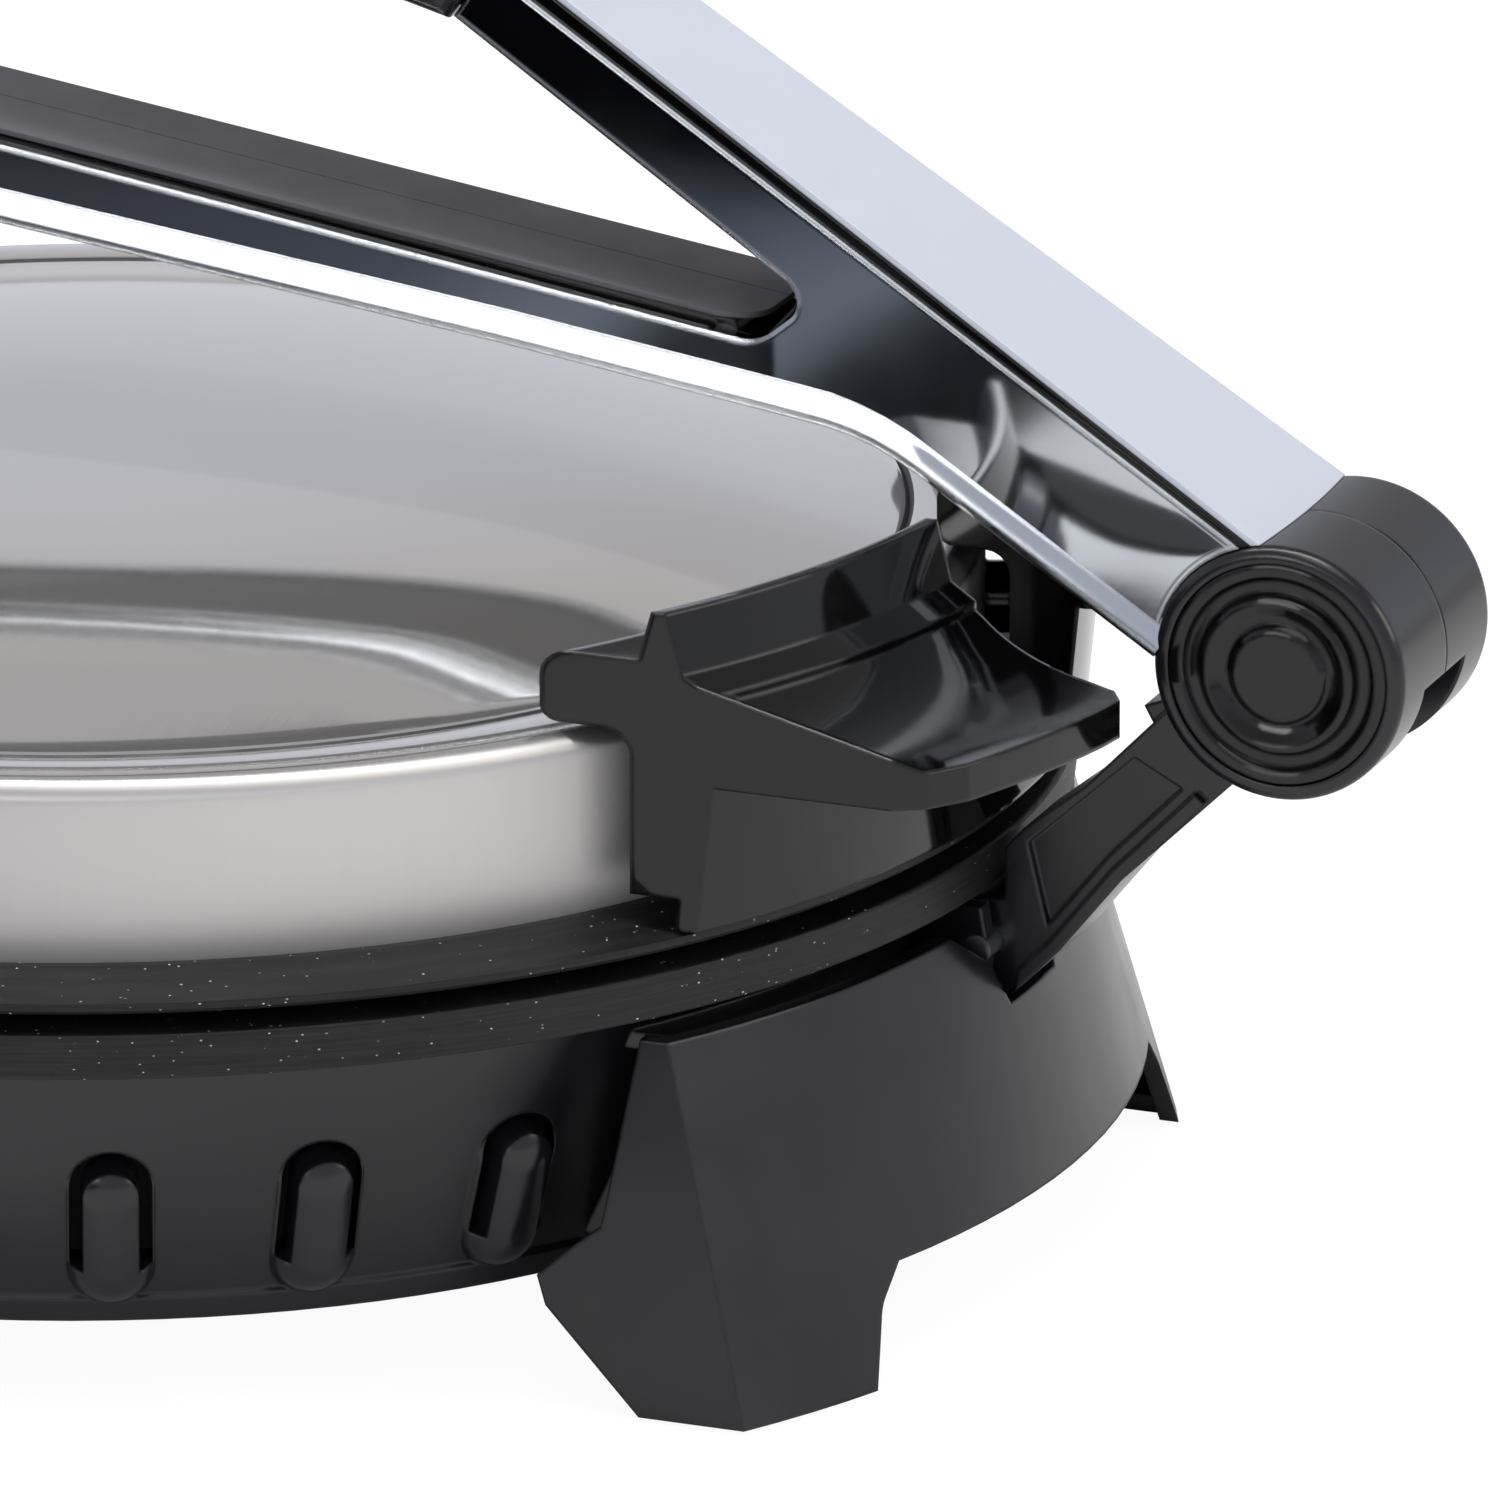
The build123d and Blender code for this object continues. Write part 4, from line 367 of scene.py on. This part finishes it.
# %% Rubber
rubber, tree, shader = finish("moulded rubber", "#19191A", 0.75)
RUBBER_GRAIN_MM = 0.6
relief(tree, shader, uneven(tree, RUBBER_GRAIN_MM), depth=0.01)
print(rubber.name, "with a grain of", RUBBER_GRAIN_MM, "mm")

# %% Steatite
ceramic, tree, shader = finish("pressed steatite", "#D8D2C2", 0.6)
STEATITE_GRAIN_MM = 0.4
relief(tree, shader, uneven(tree, STEATITE_GRAIN_MM), depth=0.01)
print(ceramic.name, "with a grain of", STEATITE_GRAIN_MM, "mm")

# %% [markdown]
# ## Hand the finishes out
# A part whose shape is right keeps its mesh and only changes what it is made of. The table names the
# parts with a finish of their own. All that is left are pins, screws, the axle and the fuses, which
# are plated with zinc.

# %% Finish of each part
FINISH = {
    "housing": satin_abs, "strut": satin_abs, "hub_near_half": satin_abs, "hub_far_half": satin_abs,
    "hand_grip": satin_abs, "hub_near_cap": gloss_abs, "hub_far_cap": gloss_abs, "lever_core": gloss_abs,
    "front_handle": gloss_abs, "rear_bracket": gloss_abs, "lever_near_cheek": chrome,
    "lever_far_cheek": chrome, "lever_top_cover": silver_lacquer, "rail_cap_near": matt_abs,
    "rail_cap_far": matt_abs, "lid_shell": brushed_steel, "lower_plate": nonstick, "upper_plate": nonstick,
    "foot_pads": rubber, "press_pad": rubber, "cord_inlet_bush": rubber, "thermostat": ceramic,
    "terminal_block": ceramic, "lower_element": sheath, "upper_element": sheath,
    "bottom_cover": sheet_steel, "lower_reflector": sheet_steel, "upper_reflector": sheet_steel,
}
for name, part in nodes.items():
    part.data.materials.clear()
    part.data.materials.append(FINISH.get(name, zinc))
print(len(FINISH), "parts with a finish of their own,", len(nodes) - len(FINISH), "plated with zinc")

# %% [markdown]
# ## Steel cover of the lid
# The cover is a shallow pan pressed from one sheet: a straight side, a rolled rim, a flat band, a
# narrow crease and a low dome that steepens outwards. It could be a lathe profile, but a ring of edges
# that is drawn inwards step by step follows the press more closely. It gives even quads, which keep
# the long reflections on the dome unbroken. The profile is a list of radius and height, from the foot
# of the side towards the middle of the dome.

# %% Side, rolled rim and band
low, high = (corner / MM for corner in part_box("lid_shell"))
PLATE_AXIS_Y = (low.y + high.y) / 2
COVER_R = high.x
COVER_FOOT_Z = low.z
FOOT_HEIGHT = 1.0
ROLL_R = 3.4
ROLL_START = 2.0
ROLL_TOP_Z = COVER_TOP_Z - 0.1
ROLL_TURN = 80.0
ROLL_STEPS = 8
BAND_R, BAND_Z = 116.6, COVER_TOP_Z - 0.04
profile = [(COVER_R, COVER_FOOT_Z), (COVER_R, COVER_FOOT_Z + FOOT_HEIGHT),
           (COVER_R, COVER_TOP_Z - ROLL_R - ROLL_START)]
for i in range(ROLL_STEPS + 1):
    angle = math.radians(ROLL_TURN * i / ROLL_STEPS)
    inward, below = 1 - math.cos(angle), 1 - math.sin(angle)
    profile.append((COVER_R - ROLL_R * inward, ROLL_TOP_Z - ROLL_R * below))
profile.append((BAND_R, BAND_Z))
print("the cover's radius is", round(COVER_R, 1), "mm, its rim stands at", COVER_TOP_Z, "mm")

# %% Crease
CREASE_R = 111.2
CREASE_DEPTH = 0.6
CREASE_HALF = 0.6
SHOULDER_OUT, SHOULDER_DROP = 0.9, 0.1
profile += [(CREASE_R + SHOULDER_OUT, COVER_TOP_Z), (CREASE_R + CREASE_HALF, COVER_TOP_Z - SHOULDER_DROP),
            (CREASE_R, COVER_TOP_Z - CREASE_DEPTH), (CREASE_R - CREASE_HALF, COVER_TOP_Z - SHOULDER_DROP)]
print("the crease is", 2 * CREASE_HALF, "mm wide and", CREASE_DEPTH, "mm deep")

# %% Dome
DOME_EDGE_R = 110.0
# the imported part's dome stands a little higher than the sheet that is drawn here
DOME_TOP_Z = high.z - 1.0
DOME_FALL = 10.4
DOME_POWER = 3.3
DOME_SLOPE_MAX = 0.2
DOME_STEPS = 34
# where the curve reaches its greatest slope, it goes on as a cone
slope_share = DOME_SLOPE_MAX * DOME_EDGE_R / (DOME_FALL * DOME_POWER)
CONE_R = DOME_EDGE_R * slope_share ** (1 / (DOME_POWER - 1))
for i in range(DOME_STEPS):
    r = DOME_EDGE_R * (1 - i / DOME_STEPS)
    bowed = min(r, CONE_R)
    drop = DOME_FALL * (bowed / DOME_EDGE_R) ** DOME_POWER + DOME_SLOPE_MAX * (r - bowed)
    profile.append((r, DOME_TOP_Z - drop))
print(len(profile), "rings in the profile, the dome is a cone past a radius of", round(CONE_R, 1), "mm")

# %% [markdown]
# ## Rings, thickness and steel of the cover
# A circle is drawn at the foot of the side. For each point of the profile its edges are extruded
# upwards and scaled about the plates' axis. The last ring is filled and poked, which closes the pole
# with a fan of triangles. Solidify then thickens the skin inwards, so that the outside stays where the
# profile put it. Only the faces in the crease get the steel that is painted dark as shade.

# %% Draw the cover ring by ring
COVER_SEGMENTS = 160
bpy.ops.object.select_all(action="DESELECT")
bpy.ops.mesh.primitive_circle_add(vertices=COVER_SEGMENTS, radius=COVER_R * MM,
                                  location=(0, PLATE_AXIS_Y * MM, COVER_FOOT_Z * MM))
cover = bpy.context.active_object
cover.name = "lid_cover"
bpy.ops.object.mode_set(mode="EDIT")
bpy.ops.mesh.select_all(action="SELECT")
for (r0, z0), (r1, z1) in zip(profile, profile[1:]):
    bpy.ops.mesh.extrude_edges_move(TRANSFORM_OT_translate={"value": (0, 0, (z1 - z0) * MM)})
    bpy.ops.transform.resize(value=(r1 / r0, r1 / r0, 1.0), center_override=(0, PLATE_AXIS_Y * MM, z1 * MM))
bpy.ops.mesh.edge_face_add()
bpy.ops.mesh.poke()
bpy.ops.mesh.select_all(action="SELECT")
bpy.ops.mesh.normals_make_consistent(inside=False)
bpy.ops.object.mode_set(mode="OBJECT")
bpy.ops.object.transform_apply(location=True, rotation=True, scale=True)
print("skin of the cover:", len(cover.data.polygons), "faces")

# %% Give the cover its thickness
COVER_SHEET = 0.8
SMOOTH_UP_TO = 40
thick = cover.modifiers.new("sheet", "SOLIDIFY")
thick.thickness = COVER_SHEET * MM
thick.offset = -1.0
bpy.ops.object.modifier_apply(modifier="sheet")
bpy.ops.object.shade_smooth_by_angle(angle=math.radians(SMOOTH_UP_TO))
print("cover:", len(cover.data.polygons), "faces,", COVER_SHEET, "mm thick")

# %% Steel of the cover
# faces whose middle is this close to the crease get the steel painted dark as shade
CREASE_SHADE_WITHIN = 0.65
cover.data.materials.append(brushed_steel)
cover.data.materials.append(crease_shade_steel)
plate_axis = Vector((0.0, PLATE_AXIS_Y))
shaded_crease_faces = [face for face in cover.data.polygons
              if abs((face.center.xy / MM - plate_axis).length - CREASE_R) < CREASE_SHADE_WITHIN]
# these faces take the second finish, whose dark colour is painted shade
for face in shaded_crease_faces:
    face.material_index = 1
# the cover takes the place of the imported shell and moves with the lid
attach(cover, "lid")
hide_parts("lid_shell")
print(len(shaded_crease_faces), "faces of the cover carry painted shade")

# %% [markdown]
# ## Lip along the lever's lower edge
# Each chrome cheek ends below in a lip that flares out by little more than a millimetre. Its upper
# side faces the light, so it draws one white line along the whole lever. A curve with a bevel could
# make it, but a small section that is pushed along the edge keeps its flat top in the light where the
# edge bends. The section turns with the edge, and the lip is then mirrored for the far cheek.

# %% Section and path of the lip
pivot = next(joint for joint in frame["joints"] if joint["name"] == "lever_pivot")
HUB_AXIS = Vector(pivot["pos_m"]) / MM
# half the lever's width at the hub, and how much narrower it gets per millimetre, up to TAPER_END
CHEEK_HALF = 17.2
CHEEK_TAPER = 0.0432
TAPER_END = 72.8
# outward from the cheek's face, up from its lower edge
LIP = [(-0.3, 5.0), (0.03, 4.8), (0.1, 4.2), (0.3, 3.6), (1.1, 1.5), (1.2, 1.0), (1.05, 0.45),
       (0.6, 0.08), (-3.4, 0.05)]
# distance behind the hub axis, height above it
LIP_PATH = [(17.6, 0.3), (52.0, 21.35), (55.0, 23.0), (58.2, 24.4), (61.5, 25.45), (65.0, 26.2), (72.8, 27.2),
            (111.8, 32.52), (175.0, 40.09), (239.0, 47.75)]


def edge_at(i):
    back, rise = LIP_PATH[i]
    half = CHEEK_HALF - CHEEK_TAPER * min(back, TAPER_END)
    return HUB_AXIS + Vector((-half, back, rise))


def slope_at(i):
    before, after = LIP_PATH[max(i - 1, 0)], LIP_PATH[min(i + 1, len(LIP_PATH) - 1)]
    return math.atan2(after[1] - before[1], after[0] - before[0])


print("the lip runs over", LIP_PATH[-1][0] - LIP_PATH[0][0], "mm of the lever")

# %% [markdown]
# ## From a point to two lips
# A plane is merged into one point, the point is extruded along the section, and the section is
# extruded along the path. At each stop it is turned by the change of slope, about the point where it
# meets the edge. Turned about its own middle, it would drift off the cheek. The lever is the same on
# both sides, so a mirror makes the far lip.

# %% Draw the section
slope = slope_at(0)
points = [edge_at(0) + Vector((-out, -up * math.sin(slope), up * math.cos(slope))) for out, up in LIP]
# this plane is shrunk to one point, so its size leaves no trace
SEED_SIZE = 0.001
bpy.ops.object.select_all(action="DESELECT")
bpy.ops.mesh.primitive_plane_add(size=SEED_SIZE, location=points[0] * MM)
lip = bpy.context.active_object
lip.name = "cheek_lips"
bpy.ops.object.transform_apply(location=True, rotation=True, scale=True)
bpy.ops.object.mode_set(mode="EDIT")
bpy.ops.mesh.select_mode(type="VERT")
bpy.ops.mesh.select_all(action="SELECT")
bpy.ops.mesh.merge(type="CENTER")
for here, there in zip(points, points[1:]):
    bpy.ops.mesh.extrude_vertices_move(TRANSFORM_OT_translate={"value": (there - here) * MM})
print(len(points), "points in the lip's section")

# %% Push the section along the edge
bpy.ops.mesh.select_mode(type="EDGE")
bpy.ops.mesh.select_all(action="SELECT")
for i in range(1, len(LIP_PATH)):
    step = edge_at(i) - edge_at(i - 1)
    bpy.ops.mesh.extrude_edges_move(TRANSFORM_OT_translate={"value": step * MM})
    bpy.ops.transform.rotate(value=slope_at(i - 1) - slope_at(i), orient_axis="X",
                             center_override=edge_at(i) * MM)
bpy.ops.mesh.select_all(action="SELECT")
bpy.ops.mesh.normals_make_consistent(inside=False)
bpy.ops.object.mode_set(mode="OBJECT")
print("lip of the near cheek:", len(lip.data.polygons), "faces")

# %% Mirror the lip
LIP_SMOOTH_UP_TO = 50
twin = lip.modifiers.new("far cheek", "MIRROR")
twin.use_axis = (True, False, False)
bpy.ops.object.modifier_apply(modifier="far cheek")
bpy.ops.object.shade_smooth_by_angle(angle=math.radians(LIP_SMOOTH_UP_TO))
print("both lips:", len(lip.data.polygons), "faces")

# %% Plate the lip
# the underside, whose faces point straight down, is left unplated
DOWNWARD = -0.9
lip.data.materials.append(chrome)
lip.data.materials.append(gloss_abs)
unplated = [face for face in lip.data.polygons if face.normal.z < DOWNWARD]
for face in unplated:
    face.material_index = 1
# the lips move with the lever
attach(lip, "lever")
print(len(unplated), "faces of the lips are left unplated")

# %% [markdown]
# ## Floor
# The machine stands on a white sheet that carries its shadow. To come out white, plain paper would
# need so much light that the lid bleached. So what the camera sees of the sheet is mostly a glow of
# its own, and the rest is lit paper, which keeps a soft shadow. The machine mirrors plain paper.

# %% Floor
FLOOR_SIZE = 12.0
FLOOR_DROP = 0.2
GLOW = 1.15
GLOW_SHARE = 0.82
bpy.ops.object.select_all(action="DESELECT")
bpy.ops.mesh.primitive_plane_add(size=FLOOR_SIZE, location=(0, 0, -FLOOR_DROP * MM))
floor = bpy.context.active_object
floor.name = "floor"
white_floor, tree, shader = finish("white studio floor", "#F2F2F2", 0.9)
ray = add(tree, "ShaderNodeLightPath")
glow = add(tree, "ShaderNodeEmission", None, {"Color": hex_colour("#FFFFFF"), "Strength": GLOW})
share = add(tree, "ShaderNodeMath", {0: ray.outputs["Is Camera Ray"]}, {1: GLOW_SHARE}, operation="MULTIPLY")
sheet = add(tree, "ShaderNodeMixShader", {0: share.outputs[0], 1: shader.outputs[0], 2: glow.outputs[0]})
tree.links.new(sheet.outputs[0], tree.nodes["Material Output"].inputs["Surface"])
floor.data.materials.append(white_floor)
print("the floor is", FLOOR_SIZE, "m wide")

# %% [markdown]
# ## Dark card for the reflections
# Chrome and gloss black look right only if they have something dark to mirror, so a studio stands
# black cards round a product. One such card lies at the left, bends up at its far end, and shows in
# reflections alone. Its tone changes along it, because the lever's cheek mirrors it from front to back
# and shows a paler patch near the middle. Lengths on the stage are in metres.

# %% Shape of the card
CARD_NEAR_X, CARD_FAR_X = -0.24, -1.7
CARD_FRONT_Y, CARD_BACK_Y = 0.042, 1.2
CARD_LIFT = 0.001
CARD_TOP_Z = 0.26
NEARLY = 0.01
bpy.ops.object.select_all(action="DESELECT")
card_middle = ((CARD_NEAR_X + CARD_FAR_X) / 2, (CARD_FRONT_Y + CARD_BACK_Y) / 2, CARD_LIFT)
bpy.ops.mesh.primitive_plane_add(size=1.0, location=card_middle)
card = bpy.context.active_object
card.name = "dark_card"
bpy.ops.object.mode_set(mode="EDIT")
bpy.ops.mesh.select_all(action="SELECT")
bpy.ops.transform.resize(value=(CARD_NEAR_X - CARD_FAR_X, CARD_BACK_Y - CARD_FRONT_Y, 1.0))
bpy.ops.object.mode_set(mode="OBJECT")
bpy.ops.object.transform_apply(location=True, rotation=True, scale=True)
# only the edge at the far end is bent up
far = {vertex.index for vertex in card.data.vertices if abs(vertex.co.x - CARD_FAR_X) < NEARLY}
for vertex in card.data.vertices:
    vertex.select = vertex.index in far
for edge in card.data.edges:
    edge.select = far.issuperset(edge.vertices)
for face in card.data.polygons:
    face.select = False
bpy.ops.object.mode_set(mode="EDIT")
bpy.ops.mesh.select_mode(type="EDGE")
bpy.ops.mesh.extrude_edges_move(TRANSFORM_OT_translate={"value": (0, 0, CARD_TOP_Z)})
bpy.ops.object.mode_set(mode="OBJECT")
print("the card has", len(card.data.polygons), "faces")

# %% Tones along the card


def set_stops(ramp, stops):
    # stops are pairs of position and linear colour, from low to high
    for position, colour in stops[1:-1]:
        ramp.elements.new(position)
    for element, (position, colour) in zip(ramp.elements, stops):
        element.position = position
        element.color = colour


# distance along Y, colour
CARD_TONES = [(0.06, "#1A1B1F"), (0.08, "#2E3136"), (0.096, "#80868E"), (0.115, "#6C727A"),
              (0.135, "#545861"), (0.205, "#44464C"), (0.46, "#0C0D10")]
TONES_START_Y = 0.04
TONES_RUN = 0.46
card_paint, tree, shader = finish("dark card", "#0C0D10", 0.9, Specular_IOR_Level=0.0)
where = add(tree, "ShaderNodeTexCoord")
along = add(tree, "ShaderNodeSeparateXYZ", {"Vector": where.outputs["Object"]})
run = add(tree, "ShaderNodeMapRange", {"Value": along.outputs["Y"]},
          {"From Min": TONES_START_Y, "From Max": TONES_START_Y + TONES_RUN})
tones = add(tree, "ShaderNodeValToRGB", {"Fac": run.outputs["Result"]})
set_stops(tones.color_ramp,
          [((y - TONES_START_Y) / TONES_RUN, hex_colour(colour)) for y, colour in CARD_TONES])
print(len(CARD_TONES), "tones along the card")

# %% Tones across the card
# paler close to the machine, and black far out, which keeps the lever's upper branch dark
NEAR_FADE = (-0.36, -0.29)
FAR_FADE = (-0.475, -0.44)
near = add(tree, "ShaderNodeMapRange", {"Value": along.outputs["X"]},
           {"From Min": NEAR_FADE[0], "From Max": NEAR_FADE[1]})
tone = add(tree, "ShaderNodeMix", {"Factor": near.outputs["Result"], "A": tones.outputs["Color"]},
           data_type="RGBA")
tone.inputs["B"].default_value = hex_colour("#8A8C94")
beyond = add(tree, "ShaderNodeMapRange", {"Value": along.outputs["X"]},
             {"From Min": FAR_FADE[0], "From Max": FAR_FADE[1], "To Min": 1.0, "To Max": 0.0})
painted = add(tree, "ShaderNodeMix", {"Factor": beyond.outputs["Result"], "A": tone.outputs["Result"]},
              data_type="RGBA")
painted.inputs["B"].default_value = hex_colour("#08080A")
tree.links.new(painted.outputs["Result"], shader.inputs["Base Color"])
card.data.materials.append(card_paint)
print("the card is paler near the machine and black past", -FAR_FADE[0], "m")

# %% Show the card in reflections alone
for kind in ("camera", "diffuse", "shadow", "transmission"):
    setattr(card, "visible_" + kind, False)
print("the card shows in reflections:", card.visible_glossy)

# %% [markdown]
# ## Room light
# The room is a wide soft gradient, bright low down and darker above, as a white sweep under a grey
# ceiling is. A picture of a real room could light the machine too, but its windows would show in the
# lid. The lid mirrors the room from the horizon to the zenith, so the gradient gives the dome its
# shape. The camera sees plain white behind the machine.

# %% Room light
# sine of the height above the horizon, colour, brightness
ROOM = [
    (0.00, "#F4F6FF", 0.80), (0.15, "#F0F3FF", 0.80), (0.30, "#EFF2FF", 0.74), (0.50, "#F6F4F4", 0.60),
    (0.75, "#F0F0F4", 0.42), (1.00, "#F4F4F8", 0.42),
]
world = bpy.data.worlds.new("studio")
bpy.context.scene.world = world
world.use_nodes = True
tree = world.node_tree
room = tree.nodes["Background"]
room.inputs["Strength"].default_value = 1.0
where = add(tree, "ShaderNodeTexCoord")
place = add(tree, "ShaderNodeSeparateXYZ", {"Vector": where.outputs["Generated"]})
sky = add(tree, "ShaderNodeValToRGB", {"Fac": place.outputs["Z"]})
set_stops(sky.color_ramp, [(sine, [c * bright for c in hex_colour(colour)[:3]] + [1.0])
                           for sine, colour, bright in ROOM])
tree.links.new(sky.outputs["Color"], room.inputs["Color"])
print(len(ROOM), "steps from the horizon to the zenith")

# %% White behind the machine
white = add(tree, "ShaderNodeBackground", None, {"Color": hex_colour("#FFFFFF"), "Strength": 1.0})
ray = add(tree, "ShaderNodeLightPath")
seen = add(tree, "ShaderNodeMixShader",
           {0: ray.outputs["Is Camera Ray"], 1: room.outputs[0], 2: white.outputs[0]})
tree.links.new(seen.outputs[0], tree.nodes["World Output"].inputs["Surface"])
print("the camera sees white, the machine mirrors the room")

# %% [markdown]
# ## Softboxes
# Four rectangular lamps add what an even room lacks. A broad one overhead and one in front lift the
# black plastics, a narrow strip above the left side draws thin bright lines on edges, and a weak one
# at the left gives the near sides a glint. Spots or a sun would throw hard shadows, which a soft
# product picture doesn't have.

# %% Softboxes
AIM = (0.0, 0.0, 0.08)
# name, centre, width and length in metres, watts, colour, point that it faces
SOFTBOXES = [
    ("overhead_box", (-0.35, -0.25, 1.3), (1.0, 1.0), 5.0, "#FFFFFF", AIM),
    ("strip_box", (-0.12, 0.12, 1.25), (0.07, 1.1), 7.0, "#FFFFFF", (-0.12, 0.0, 0.08)),
    ("left_box", (-1.5, 0.33, 0.47), (0.5, 0.3), 2.5, "#FFFFFF", AIM),
    ("front_box", (0.2, -1.5, 0.75), (0.9, 0.7), 6.0, "#FFF6EC", AIM),
]
for name, centre, size, watts, colour, aim in SOFTBOXES:
    data = bpy.data.lights.new(name, "AREA")
    data.shape = "RECTANGLE"
    data.size, data.size_y = size
    data.energy = watts
    data.color = hex_colour(colour)[:3]
    lamp = bpy.data.objects.new(name, data)
    bpy.context.scene.collection.objects.link(lamp)
    facing = (Vector(aim) - Vector(centre)).to_track_quat("-Z", "Y")
    lamp.matrix_world = Matrix.Translation(centre) @ facing.to_matrix().to_4x4()
print(len(SOFTBOXES), "softboxes")

# %% [markdown]
# ## Colour view
# The Standard view shows a colour about as it is written, where other views would bend it for effect.

# %% Colour view
bpy.context.scene.view_settings.view_transform = "Standard"
